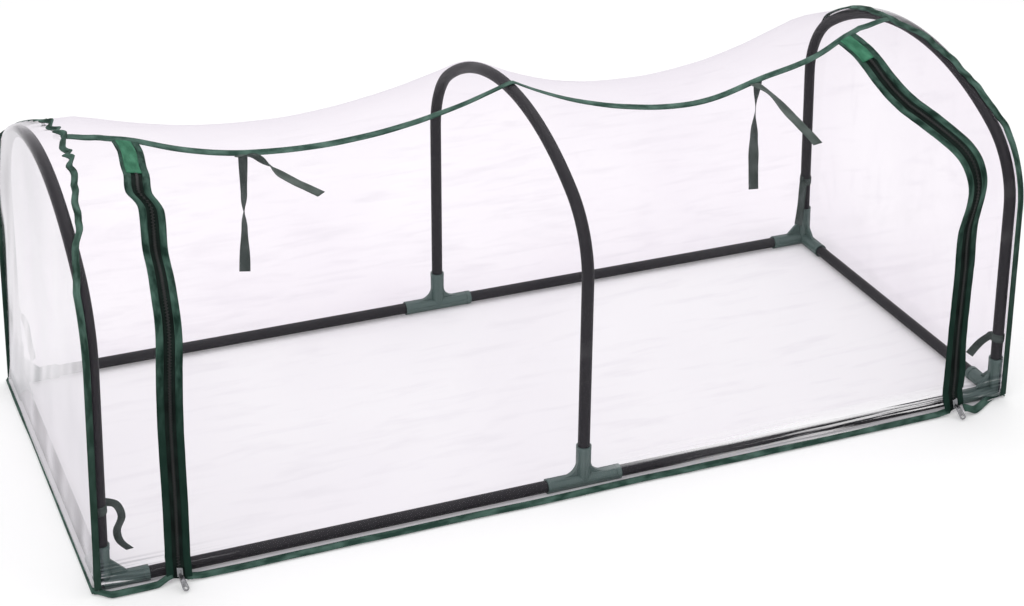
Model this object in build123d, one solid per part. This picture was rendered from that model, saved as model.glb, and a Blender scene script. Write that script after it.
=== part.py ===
from build123d import *
import math
import os

# Tube frame: three hoops on a rectangle of ground rails
tube_diameter = 22.5
bay_length = 900.0
rail_spacing = 770.0
leg_height = 407.0
arch_rise = 235.0
shoulder_radius = 172.0
end_hoop_lean = 26.0

# Moulded connectors
socket_wall = 1.7
tube_play = 0.2
seat_depth = 16.0
corner_arm = 80.0
corner_stem = 76.0
tee_arm = 74.0
tee_stem = 72.0
rim_length = 9.0
rim_relief = 1.2
rib_width = 2.4
rib_relief = 0.9
rib_count = 6
gusset_thickness = 5.0
gusset_web = 2.6
gusset_border = 3.5
gusset_reach = 44.0
saddle_thickness = 9.0
saddle_radius = 26.0
cut_overrun = 5.0

# Film cover, drawn thicker than the real film
film_thickness = 2.0
film_gap = 0.3
left_bay_sag = 80.0
right_bay_sag = 103.0
spring_sag_share = 0.75
hoop_wrap = 5.0
bay_steps = 16
ridge_offset = 25.0
skirt_height = 45.0
skirt_flare = 15.0
end_skirt_flare = 4.0

# Sewn bindings
binding_width = 13.0
binding_relief = 1.0
hem_width = 14.0
hem_thickness = 3.0
end_binding_width = 12.0
end_binding_thickness = 3.0

# Zips on the front
zip_inset = 118.0
zip_lean = 50.0
zip_tape_width = 46.0
zip_tape_relief = 0.6
coil_width = 6.0
coil_height = 2.4
slider_length = 17.0
slider_width = 12.0
slider_height = 7.0
slider_rounding = 1.5
pull_length = 30.0
pull_width = 9.0
pull_thickness = 1.8
pull_eye_diameter = 4.5

# Tie tapes
tie_width = 17.0
tie_thickness = 1.2
door_tie_inset = 348.0
left_tie_run = 92.0
left_tie_drop = 128.0
right_tie_run = 48.0
right_tie_drop = 190.0
tie_steps = 8
tie_gap = 0.9
inner_tie_length = 245.0
corner_tie_height = 146.0
corner_tie_tail = 112.0

# Sizes that follow from those above
tube_radius = tube_diameter / 2
bore_radius = tube_radius + tube_play
socket_radius = bore_radius + socket_wall
rim_radius = socket_radius + rim_relief
rail_height = rim_radius
half_spacing = rail_spacing / 2
crown_height = leg_height + arch_rise
zip_place = bay_length - zip_inset
cover_stand_off = rim_radius + film_gap
cover_half_span = half_spacing + cover_stand_off
cover_rise = arch_rise + tube_radius + film_gap
cover_shoulder = shoulder_radius + tube_radius + film_gap
skirt_top = skirt_height - rail_height
hem_top = hem_thickness - rail_height
skirt_foot = hem_top + film_gap
hem_offset = cover_half_span + skirt_flare + film_thickness / 2
end_hem_offset = bay_length + cover_stand_off + end_skirt_flare + film_thickness / 2
cover_end = bay_length + cover_stand_off - film_gap
sag_end = zip_place + zip_tape_width / 2
door_tie_place = bay_length - door_tie_inset
upright = Vector(0, 0, 1)
on_base = (Align.CENTER, Align.CENTER, Align.MIN)


def lean_at(x):
    """Angle of the section at x: upright at the middle hoop, leaning in at the zips and ends."""
    reach = abs(x)
    lean = zip_lean * reach / zip_place
    if reach > zip_place:
        lean = zip_lean + (end_hoop_lean - zip_lean) * (reach - zip_place) / zip_inset
    return math.copysign(math.asin(lean / crown_height), x)


def station(x):
    """Section plane at x along the rails."""
    on_rails = max(-bay_length, min(bay_length, x))
    angle = lean_at(on_rails)
    normal = Vector(math.cos(angle), 0, math.sin(angle))
    origin = Vector(on_rails, 0, rail_height) + normal * (x - on_rails)
    return Plane(origin=origin, x_dir=(0, 1, 0), z_dir=normal)


def sag_at(x):
    """Depth that the roof film hangs at x between the middle hoop and a zip."""
    along = (abs(x) - hoop_wrap) / (sag_end - hoop_wrap)
    along = max(0, min(1, along))
    depth = left_bay_sag if x < 0 else right_bay_sag
    return 4 * depth * along * (1 - along)


def arch(half_span, spring, rise, shoulder):
    """Centres, radii and joint angle of a three-centred arch."""
    reach = half_span - shoulder
    crown = (reach**2 + rise**2 - shoulder**2) / (2 * (rise - shoulder))
    return {
        "reach": reach,
        "spring": spring,
        "shoulder": shoulder,
        "crown": crown,
        "centre": spring + rise - crown,
        "joint": math.asin(reach / (crown - shoulder)),
    }


def cover_arch(x):
    """Inner face of the film at x, with the roof hanging between hoops."""
    sag = sag_at(x)
    spring = leg_height - spring_sag_share * sag
    rise = cover_rise - (1 - spring_sag_share) * sag
    return arch(cover_half_span, spring, rise, cover_shoulder)


def crown_point(form, angle, offset):
    """Point on the crown arc at an angle from the ridge line, moved out by offset."""
    radius = form["crown"] + offset
    return (radius * math.sin(angle), form["centre"] + radius * math.cos(angle))


def shoulder_point(form, angle, offset):
    """Point on the shoulder arc at an angle from upright, moved out by offset."""
    radius = form["shoulder"] + offset
    return (form["reach"] + radius * math.sin(angle), form["spring"] + radius * math.cos(angle))


def arch_edges(form, start, offset, foot):
    """Crown, shoulder, wall and any skirt of one side, from the start angle to the foot."""
    joint = form["joint"]
    quarter = math.pi / 2
    wall = form["reach"] + form["shoulder"] + offset
    first = crown_point(form, start, offset)
    tangent = crown_point(form, joint, offset)
    spring = shoulder_point(form, quarter, offset)
    knee = (wall, max(foot, skirt_top))
    toe = (wall + skirt_flare, foot)
    edges = [
        ThreePointArc(first, crown_point(form, (start + joint) / 2, offset), tangent),
        ThreePointArc(tangent, shoulder_point(form, (joint + quarter) / 2, offset), spring),
        Line(spring, knee),
    ]
    if foot >= skirt_top:
        return edges, first, knee
    return edges + [Line(knee, toe)], first, toe


def cover_face(x, side, start_offset, inner, outer, foot):
    """Cross-section of the cover on one side, from beside the ridge to the foot."""
    form = cover_arch(x)
    start = start_offset / form["crown"]
    outside, first_out, toe_out = arch_edges(form, start, outer, foot)
    inside, first_in, toe_in = arch_edges(form, start, inner, foot)
    face = make_face(outside + [Line(toe_out, toe_in)] + inside + [Line(first_in, first_out)])
    if side < 0:
        face = mirror(face, about=Plane.YZ)
    return station(x) * face


def stations_between(low, high):
    """Places along the rails where the cover's section is drawn, ends included."""
    step = (sag_end - hoop_wrap) / bay_steps
    right = [hoop_wrap + step * count for count in range(bay_steps + 1)]
    places = [x for reach in right for x in (-reach, reach) if low < x < high]
    return sorted([low, high] + places)


def cover_panel(low, high, side, start_offset, inner, outer, foot):
    """Film or tape that follows the draped cover between two places along the rails."""
    faces = [cover_face(x, side, start_offset, inner, outer, foot) for x in stations_between(low, high)]
    return loft(faces, ruled=True)


def ribbon_face(x, middle, width, inner, outer):
    """Cross-section of a band on the crown, centred at an arc length from the apex."""
    form = cover_arch(x)
    low = (middle - width / 2) / form["crown"]
    high = (middle + width / 2) / form["crown"]
    centre = (low + high) / 2
    corners = [crown_point(form, angle, offset) for angle, offset in
               ((low, inner), (high, inner), (high, outer), (low, outer))]
    edges = [
        ThreePointArc(corners[0], crown_point(form, centre, inner), corners[1]),
        Line(corners[1], corners[2]),
        ThreePointArc(corners[2], crown_point(form, centre, outer), corners[3]),
        Line(corners[3], corners[0]),
    ]
    return station(x) * make_face(edges)


def rod(start, end, radius):
    """Round bar between two points."""
    line = Line(start, end)
    return sweep(Plane(start, z_dir=line % 0) * Circle(radius), path=line)


def lean_direction(sign_x):
    """Direction of a hoop's legs; sign_x is the end, or zero for the middle hoop."""
    angle = lean_at(sign_x * bay_length)
    return Vector(-math.sin(angle), 0, math.cos(angle))


def hoop(sign_x):
    """Bent tube from the seat in one connector to the seat in the other."""
    form = arch(half_spacing, leg_height, arch_rise, shoulder_radius)
    joint = form["joint"]
    middle = (joint + math.pi / 2) / 2
    foot = seat_depth + tube_play

    def flip(point):
        return (-point[0], point[1])

    tangent = crown_point(form, joint, 0)
    bend = shoulder_point(form, middle, 0)
    spring = (half_spacing, leg_height)
    path = Wire([
        Line((half_spacing, foot), spring),
        ThreePointArc(spring, bend, tangent),
        ThreePointArc(tangent, crown_point(form, 0, 0), flip(tangent)),
        ThreePointArc(flip(tangent), flip(bend), flip(spring)),
        Line(flip(spring), (-half_spacing, foot)),
    ])
    profile = Plane((half_spacing, foot, 0), z_dir=(0, 1, 0)) * Circle(tube_radius)
    return station(sign_x * bay_length) * sweep(profile, path=path)


def socket_arm(direction, length):
    """Outside of one socket: sleeve, ribs along it and a rim at its mouth."""
    body = Cylinder(socket_radius, length, align=on_base)
    body += Pos(0, 0, length - rim_length) * Cylinder(rim_radius, rim_length, align=on_base)
    rib = Pos(socket_radius, 0, 0) * Box(2 * rib_relief, rib_width, length - rim_length / 2, align=on_base)
    for count in range(rib_count):
        body += Rot(0, 0, 360 * (count + 0.5) / rib_count) * rib
    return Plane((0, 0, 0), z_dir=direction) * body


def socket_bore(direction, length):
    """Hole of one socket, from the tube's seat out through the mouth."""
    seat = Vector(direction) * seat_depth
    return Plane(seat, z_dir=direction) * Cylinder(
        bore_radius, length - seat_depth + cut_overrun, align=on_base)


def gusset(first, second):
    """Triangular web in the corner between two sockets, thin inside a thicker border."""
    web = Plane((0, 0, 0), x_dir=first, z_dir=Vector(first).cross(Vector(second)))
    tip = web.to_local_coords(Vector(second)) * (socket_radius + gusset_reach)
    face = make_face(Polyline((0, 0), (socket_radius + gusset_reach, 0), (tip.X, tip.Y), close=True))
    plate = extrude(face, amount=gusset_thickness / 2, both=True)
    pocket = offset(face, -gusset_border)
    for side in (1, -1):
        plate -= Pos(0, 0, side * gusset_web / 2) * extrude(pocket, amount=gusset_thickness, dir=(0, 0, side))
    return web * plate


def saddle(first, second):
    """Hollow-curved web that runs a stem out into the sleeve below it."""
    web = Plane((0, 0, 0), x_dir=first, z_dir=Vector(first).cross(Vector(second)))
    span = socket_radius + saddle_radius
    low = (span, socket_radius)
    high = (socket_radius, span)
    nearest = span - saddle_radius * math.sqrt(0.5)
    outline = [
        Line((0, 0), (span, 0)),
        Line((span, 0), low),
        ThreePointArc(low, (nearest, nearest), high),
        Line(high, (0, span)),
        Line((0, span), (0, 0)),
    ]
    return web * extrude(make_face(outline), amount=saddle_thickness / 2, both=True)


def connector(arms, webs, place):
    """Moulded connector: sockets and webs in one piece, bored for the tubes."""
    body = Sphere(socket_radius)
    for direction, length in arms:
        body += socket_arm(direction, length)
    for web in webs:
        body += web
    for direction, length in arms:
        body -= socket_bore(direction, length)
    return Pos(*place) * body


def corner(sign_x, sign_y):
    """Three-way corner: one socket for each rail and one for the leg."""
    along = Vector(-sign_x, 0, 0)
    across = Vector(0, -sign_y, 0)
    leg = lean_direction(sign_x)
    arms = [(along, corner_arm), (across, corner_arm), (leg, corner_stem)]
    webs = [gusset(along, leg), gusset(across, leg)]
    return connector(arms, webs, (sign_x * bay_length, sign_y * half_spacing, rail_height))


def tee(sign_y):
    """Tee at the foot of the middle hoop, with a rail in each arm."""
    left = Vector(-1, 0, 0)
    right = Vector(1, 0, 0)
    arms = [(left, tee_arm), (right, tee_arm), (upright, tee_stem)]
    webs = [saddle(left, upright), saddle(right, upright)]
    return connector(arms, webs, (0, sign_y * half_spacing, rail_height))


def side_rail(sign_x, sign_y):
    """Ground rail from a tee to a corner."""
    seat = seat_depth + tube_play
    y = sign_y * half_spacing
    return rod((sign_x * seat, y, rail_height), (sign_x * (bay_length - seat), y, rail_height), tube_radius)


def end_rail(sign_x):
    """Ground rail across one end."""
    reach = half_spacing - seat_depth - tube_play
    x = sign_x * bay_length
    return rod((x, -reach, rail_height), (x, reach, rail_height), tube_radius)


def end_sheet(sign_x):
    """Flat end panel hung from the end hoop, with a skirt that spreads at the ground."""
    plane = station(sign_x * bay_length)
    form = cover_arch(bay_length)
    wall = cover_half_span + film_thickness
    tangent = crown_point(form, form["joint"], film_thickness)
    bend = shoulder_point(form, (form["joint"] + math.pi / 2) / 2, film_thickness)
    spring = (wall, leg_height)
    outline = [
        Line((-wall, skirt_top), (wall, skirt_top)),
        Line((wall, skirt_top), spring),
        ThreePointArc(spring, bend, tangent),
        ThreePointArc(tangent, crown_point(form, 0, film_thickness), (-tangent[0], tangent[1])),
        ThreePointArc((-tangent[0], tangent[1]), (-bend[0], bend[1]), (-spring[0], spring[1])),
        Line((-spring[0], spring[1]), (-wall, skirt_top)),
    ]
    face = Pos(0, 0, sign_x * cover_stand_off) * make_face(outline)
    panel = extrude(face, amount=sign_x * film_thickness, dir=(0, 0, 1))
    levels = ((skirt_top, wall, 0), (skirt_foot, wall + skirt_flare, end_skirt_flare))
    edges = []
    for height, half_width, flare in levels:
        middle = sign_x * (cover_stand_off + flare + film_thickness / 2)
        level = Plane((0, height, middle), x_dir=(1, 0, 0), z_dir=(0, -1, 0))
        edges.append(level * Rectangle(2 * half_width, film_thickness))
    return plane * (panel + loft(edges, ruled=True))


def end_binding(sign_x):
    """Binding sewn over the seam where an end panel meets the sides."""
    outer_edge = cover_end + film_gap + film_thickness
    low, high = sorted((sign_x * (outer_edge - end_binding_width), sign_x * outer_edge))
    inner = film_thickness + film_gap
    outer = inner + end_binding_thickness
    back = cover_panel(low, high, 1, 0, inner, outer, skirt_foot)
    front = cover_panel(low, high, -1, 0, inner, outer, skirt_foot)
    return back + front


def hem(low, high):
    """Flat binding on the ground between two corners of its outline."""
    corner_low = Vector(low[0], low[1], 0)
    size = (high[0] - low[0], high[1] - low[1], hem_thickness)
    return Pos(corner_low) * Box(*size, align=(Align.MIN, Align.MIN, Align.MIN))


def zip_slider(sign_x):
    """Slider at the foot of the zip, with its pull lying out over the hem."""
    x = sign_x * zip_place
    form = cover_arch(x)
    wall = form["reach"] + form["shoulder"] + film_thickness + zip_tape_relief
    slope = math.atan2(skirt_top - skirt_foot, skirt_flare)
    down = Vector(math.cos(slope), -math.sin(slope), 0)
    body = Box(slider_width, slider_length, slider_height, align=(Align.CENTER, Align.MIN, Align.MIN))
    body = fillet(body.edges(), slider_rounding)
    plate = Box(pull_width, pull_length, pull_thickness, align=(Align.CENTER, Align.MIN, Align.MIN))
    plate = fillet(plate.edges().filter_by(Axis.Z), pull_width / 3)
    eye = Pos(0, pull_length - pull_width / 2, 0) * Cylinder(pull_eye_diameter / 2, pull_width)
    plate -= eye
    body += Pos(0, slider_length / 2, slider_height - pull_thickness / 2) * plate
    top = skirt_top - slider_length / 4
    start = Vector(wall + film_gap + (skirt_top - top) / math.tan(slope), top, 0)
    seat = Plane(origin=start, x_dir=(0, 0, 1), z_dir=(math.sin(slope), math.cos(slope), 0))
    placed = mirror(seat * body, about=Plane.YZ)
    return station(x) * placed


def roof_point(x, arc):
    """Point on the outside of the roof film, at an arc length from the apex towards the front."""
    form = cover_arch(x)
    u, v = crown_point(form, -arc / form["crown"], film_thickness)
    return station(x).from_local_coords(Vector(u, v, 0))


def outer_tie(x, run, drop):
    """Tape lying on the roof film, from beside the ridge binding forward and to the right."""
    start = ridge_offset + binding_width / 2 + tie_gap + tie_width / 2
    half = tie_width / 2
    middles = []
    for count in range(tie_steps + 1):
        place = x + run * count / tie_steps
        arc = start + drop * count / tie_steps
        rightward = roof_point(place + half, arc) - roof_point(place - half, arc)
        forward = roof_point(place, arc + half) - roof_point(place, arc - half)
        outward = forward.cross(rightward).normalized()
        middles.append((roof_point(place, arc) + outward * (tie_gap + tie_thickness / 2), outward))
    faces = []
    for count, (middle, outward) in enumerate(middles):
        along = middles[min(tie_steps, count + 1)][0] - middles[max(0, count - 1)][0]
        faces.append(Plane(middle, x_dir=along.cross(outward), z_dir=along) * Rectangle(tie_width, tie_thickness))
    return loft(faces, ruled=True)


def inner_tie(sign_x):
    """Tape hanging straight down inside from the ridge."""
    x = sign_x * door_tie_place
    tops = []
    for edge in (x - tie_width / 2, x + tie_width / 2):
        form = cover_arch(edge)
        u, v = crown_point(form, -ridge_offset / form["crown"], -film_gap)
        tops.append((station(edge) * Pos(u, v, 0)).position)
    top = min(point.Z for point in tops)
    middle = (tops[0] + tops[1]) / 2
    strip = Box(tie_width, tie_thickness, inner_tie_length, align=(Align.CENTER, Align.CENTER, Align.MAX))
    return Pos(middle.X, middle.Y, top) * strip


def corner_tie(sign_x, sign_y):
    """Tape knotted round a leg above the corner, with its tail hanging inside."""
    ring = Cylinder(tube_radius + tube_play + tie_thickness, tie_width)
    ring -= Cylinder(tube_radius + tube_play, tie_width + cut_overrun)
    tail = Box(tie_thickness, tie_width, corner_tie_tail, align=(Align.MIN, Align.CENTER, Align.MAX))
    knot = Box(rim_radius - tube_radius + tie_thickness, tie_width, tie_width,
               align=(Align.MAX, Align.CENTER, Align.CENTER))
    tail_face = rim_radius + film_gap
    tail = Pos(tail_face, 0, tie_width / 2) * tail
    knot = Pos(tail_face + tie_thickness, 0, 0) * knot
    knot -= Cylinder(tube_radius + tube_play, tie_width + cut_overrun)
    tape = ring + knot + tail
    leg = lean_direction(sign_x)
    foot = Vector(sign_x * bay_length, sign_y * half_spacing, rail_height)
    place = Plane(foot + leg * corner_tie_height, x_dir=(-sign_x, -sign_y, 0), z_dir=leg)
    return place * tape


nodes = {}
sides = {"front": -1, "back": 1}
ends = {"left": -1, "right": 1}

for end_name, sign_x in ends.items():
    nodes[f"{end_name}_hoop"] = hoop(sign_x)
    nodes[f"{end_name}_end_rail"] = end_rail(sign_x)
    for side_name, sign_y in sides.items():
        nodes[f"{side_name}_{end_name}_rail"] = side_rail(sign_x, sign_y)
        nodes[f"{side_name}_{end_name}_corner"] = corner(sign_x, sign_y)
        nodes[f"{side_name}_{end_name}_tie"] = corner_tie(sign_x, sign_y)
nodes["middle_hoop"] = hoop(0)
for side_name, sign_y in sides.items():
    nodes[f"{side_name}_tee"] = tee(sign_y)

# Cover panels, parted by the ridge binding and the two zips
ridge_clear = binding_width / 2 + film_gap
zip_clear = zip_tape_width / 2 + film_gap
front_start = ridge_offset + ridge_clear
back_start = ridge_clear - ridge_offset
zip_edge = zip_place + zip_clear
door_edge = zip_place - zip_clear
foot_lean = rail_height * math.tan(lean_at(zip_place))
film_faces = (0, film_thickness)
tape_outer = film_thickness + zip_tape_relief
nodes["back_sheet"] = cover_panel(-cover_end, cover_end, 1, back_start, *film_faces, skirt_foot)
nodes["door_sheet"] = cover_panel(-door_edge, door_edge, -1, front_start, *film_faces, skirt_foot)
for end_name, sign_x in ends.items():
    low, high = sorted((sign_x * zip_edge, sign_x * cover_end))
    nodes[f"front_{end_name}_sheet"] = cover_panel(low, high, -1, front_start, *film_faces, skirt_foot)
    nodes[f"{end_name}_end_sheet"] = end_sheet(sign_x)
    nodes[f"{end_name}_end_binding"] = end_binding(sign_x)

# Zips: tape in the plane of the film, coil along its middle, slider at the foot
for end_name, sign_x in ends.items():
    x = sign_x * zip_place
    tape_half = zip_tape_width / 2
    coil_half = coil_width / 2
    coil_inner = tape_outer + film_gap
    nodes[f"{end_name}_zip_tape"] = cover_panel(
        x - tape_half, x + tape_half, -1, front_start, 0, tape_outer, film_gap - rail_height)
    nodes[f"{end_name}_zip_coil"] = cover_panel(
        x - coil_half, x + coil_half, -1, front_start, coil_inner, coil_inner + coil_height, skirt_top)
    nodes[f"{end_name}_zip_slider"] = zip_slider(sign_x)

# Ridge binding along the whole roof
ridge_end = cover_end - end_binding_width
ridge_faces = [
    ribbon_face(x, -ridge_offset, binding_width, 0, film_thickness + binding_relief)
    for x in stations_between(-ridge_end, ridge_end)
]
nodes["ridge_binding"] = loft(ridge_faces, ruled=True)

# Hems on the ground
hem_half = hem_width / 2
hem_inside = hem_offset - hem_half
hem_outside = hem_offset + hem_half
end_hem_inside = end_hem_offset - hem_half
end_hem_outside = end_hem_offset + hem_half
nodes["back_hem"] = hem((-end_hem_outside, hem_inside), (end_hem_outside, hem_outside))
nodes["door_hem"] = hem((-door_edge, -hem_outside), (door_edge, -hem_inside))
for end_name, sign_x in ends.items():
    low, high = sorted((sign_x * (zip_edge + foot_lean), sign_x * end_hem_outside))
    nodes[f"front_{end_name}_hem"] = hem((low, -hem_outside), (high, -hem_inside))
    low, high = sorted((sign_x * end_hem_inside, sign_x * end_hem_outside))
    nodes[f"{end_name}_hem"] = hem((low, film_gap - hem_inside), (high, hem_inside - film_gap))

# Door ties at the ridge
outer_tie_lays = {"left": (left_tie_run, left_tie_drop), "right": (right_tie_run, right_tie_drop)}
for end_name, sign_x in ends.items():
    run, drop = outer_tie_lays[end_name]
    nodes[f"{end_name}_outer_door_tie"] = outer_tie(sign_x * door_tie_place, run, drop)
    nodes[f"{end_name}_inner_door_tie"] = inner_tie(sign_x)

os.makedirs("parts", exist_ok=True)
for name, shape in nodes.items():
    export_step(shape, f"parts/{name}.step")
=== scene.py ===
"""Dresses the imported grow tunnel: clear film over a hooped frame, green bindings, zips and tie tapes."""
import logging
import math
from dataclasses import dataclass
from enum import Enum
from functools import cache
from typing import Callable, Sequence

import bmesh
import bpy
from mathutils import Matrix, Vector, noise


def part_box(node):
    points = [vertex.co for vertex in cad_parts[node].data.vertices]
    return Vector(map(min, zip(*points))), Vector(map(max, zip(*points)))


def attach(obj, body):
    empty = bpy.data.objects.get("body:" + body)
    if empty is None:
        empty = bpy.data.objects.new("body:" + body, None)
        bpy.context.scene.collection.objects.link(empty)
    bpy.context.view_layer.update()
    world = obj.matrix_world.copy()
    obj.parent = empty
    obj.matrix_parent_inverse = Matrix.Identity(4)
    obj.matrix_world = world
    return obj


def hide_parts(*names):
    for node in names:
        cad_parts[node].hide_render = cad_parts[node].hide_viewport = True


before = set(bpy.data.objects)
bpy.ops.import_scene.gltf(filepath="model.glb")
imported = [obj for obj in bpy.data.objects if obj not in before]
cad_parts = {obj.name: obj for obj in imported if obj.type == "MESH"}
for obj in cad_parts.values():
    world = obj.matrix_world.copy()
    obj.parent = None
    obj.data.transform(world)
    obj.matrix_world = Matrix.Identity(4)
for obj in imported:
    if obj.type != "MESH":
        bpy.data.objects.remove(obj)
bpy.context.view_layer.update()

LOG = logging.getLogger("grow_tunnel")
BODY = "root"
VALUE, VECTOR, COLOUR = "NodeSocketFloat", "NodeSocketVector", "NodeSocketColor"
IMAGE_SIZE = (1024, 606)
WHITE = (1.0, 1.0, 1.0, 1.0)
UP = Vector((0.0, 0.0, 1.0))
Colour = tuple[float, float, float]
Span = tuple[float, float]
Station = tuple[Vector, Vector]
Spine = Callable[[float], Station]
Socket = bpy.types.NodeSocket
Sockets = bpy.types.bpy_prop_collection


class Place(Enum):
    """A place on the tunnel that the CAD nodes name."""

    @property
    def word(self) -> str:
        """The place's name as the CAD nodes spell it."""
        return self.name.lower()


class End(Place):
    """The two ends of the tunnel, with the sign of their place along it."""

    LEFT = -1
    RIGHT = 1


class Side(Place):
    """The two long sides, with the sign of their place across the tunnel."""

    FRONT = -1
    BACK = 1


class Slot(Enum):
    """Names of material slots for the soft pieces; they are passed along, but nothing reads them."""

    FILM = "film"
    BINDING = "binding"
    ZIP_TAPE = "zip_tape"
    ZIP_COIL = "zip_coil"
    ZIP_SLIDER = "zip_slider"
    TIE_TAPE = "tie_tape"


def smooth(share: float) -> float:
    """Eases a share from 0 to 1 and holds it there.

    Args:
        share: Place along the change, clamped to 0 and 1.

    Returns:
        The eased share.
    """
    share = max(0.0, min(1.0, share))
    return share * share * (3.0 - 2.0 * share)


def blend(low: float, high: float, share: float) -> float:
    """Goes straight from low to high by a share."""
    return low + (high - low) * share


def ripple(first: float, second: float, scales: Span, layer: float) -> float:
    """Reads the noise at two scaled places in one of its layers."""
    return noise.noise(Vector((first * scales[0], second * scales[1], layer)))


@dataclass(frozen=True)
class Course:
    """A value that eases from stop to stop along a length."""

    stops: tuple[tuple[float, float], ...]

    def at(self, place: float) -> float:
        """Reads the value at a place.

        Args:
            place: Place along the length, in the unit of the stops.

        Returns:
            The eased value, held beyond the first and last stop.
        """
        if place <= self.stops[0][0]:
            return self.stops[0][1]
        for (start, low), (end, high) in zip(self.stops, self.stops[1:]):
            if place <= end:
                return blend(low, high, smooth((place - start) / (end - start)))
        return self.stops[-1][1]


@dataclass(frozen=True)
class Arch:
    """Three-centred arch of one section of the cover, with a straight wall and a skirt below it."""

    reach: float
    spring: float
    shoulder: float
    crown: float
    joint: float
    knee: float
    foot: float
    flare: float

    @classmethod
    def fit(cls, half_span: float, spring: float, rise: float, shoulder: float,
            knee: float, foot: float, flare: float) -> "Arch":
        """Finds the crown arc that runs smoothly into the shoulder arcs.

        Args:
            half_span: Distance of the wall from the middle.
            spring: Height where the wall meets the shoulder.
            rise: Height of the apex above the spring.
            shoulder: Radius of the shoulder arc.
            knee: Height where the skirt begins.
            foot: Height where the skirt ends.
            flare: Distance that the skirt spreads.

        Returns:
            The fitted arch.
        """
        reach = half_span - shoulder
        crown = (reach**2 + rise**2 - shoulder**2) / (2 * (rise - shoulder))
        return cls(reach, spring, shoulder, crown, math.asin(reach / (crown - shoulder)), knee, foot, flare)

    @property
    def crown_length(self) -> float:
        """Arc length from the apex to the shoulder."""
        return self.crown * self.joint

    @property
    def bent_length(self) -> float:
        """Arc length from the apex to the spring."""
        return self.crown_length + self.shoulder * (math.pi / 2 - self.joint)

    @property
    def skirt_length(self) -> float:
        """Slanting length of the skirt."""
        return math.hypot(self.flare, self.knee - self.foot)

    @property
    def length(self) -> float:
        """Arc length from the apex to the foot of the skirt."""
        return self.bent_length + self.spring - self.knee + self.skirt_length

    def at(self, arc: float) -> tuple[float, float, float]:
        """Finds the place at an arc length from the apex.

        Args:
            arc: Arc length, from zero at the apex.

        Returns:
            Distance out, height, and the angle of the outward normal from upright.
        """
        if arc <= self.crown_length:
            angle = arc / self.crown
            apex = self.spring + self.shoulder * math.cos(self.joint) - self.crown * math.cos(self.joint)
            return self.crown * math.sin(angle), apex + self.crown * math.cos(angle), angle
        if arc <= self.bent_length:
            angle = self.joint + (arc - self.crown_length) / self.shoulder
            return (self.reach + self.shoulder * math.sin(angle),
                    self.spring + self.shoulder * math.cos(angle), angle)
        wall = self.reach + self.shoulder
        drop = arc - self.bent_length
        straight = self.spring - self.knee
        if drop <= straight:
            return wall, self.spring - drop, math.pi / 2
        share = (drop - straight) / self.skirt_length
        slant = math.atan2(self.flare, self.knee - self.foot)
        return wall + self.flare * share, self.knee - (self.knee - self.foot) * share, math.pi / 2 - slant


@dataclass(frozen=True)
class Billow:
    """A local swell, or a hollow where its depth is negative."""

    along: float
    arc: float
    length: float
    height: float
    depth: float

    def at(self, x: float, arc: float) -> float:
        """Reads how far the film stands out at a place on the cover."""
        far = ((x - self.along) / self.length) ** 2 + ((arc - self.arc) / self.height) ** 2
        return self.depth * math.exp(-far / 2)


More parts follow.
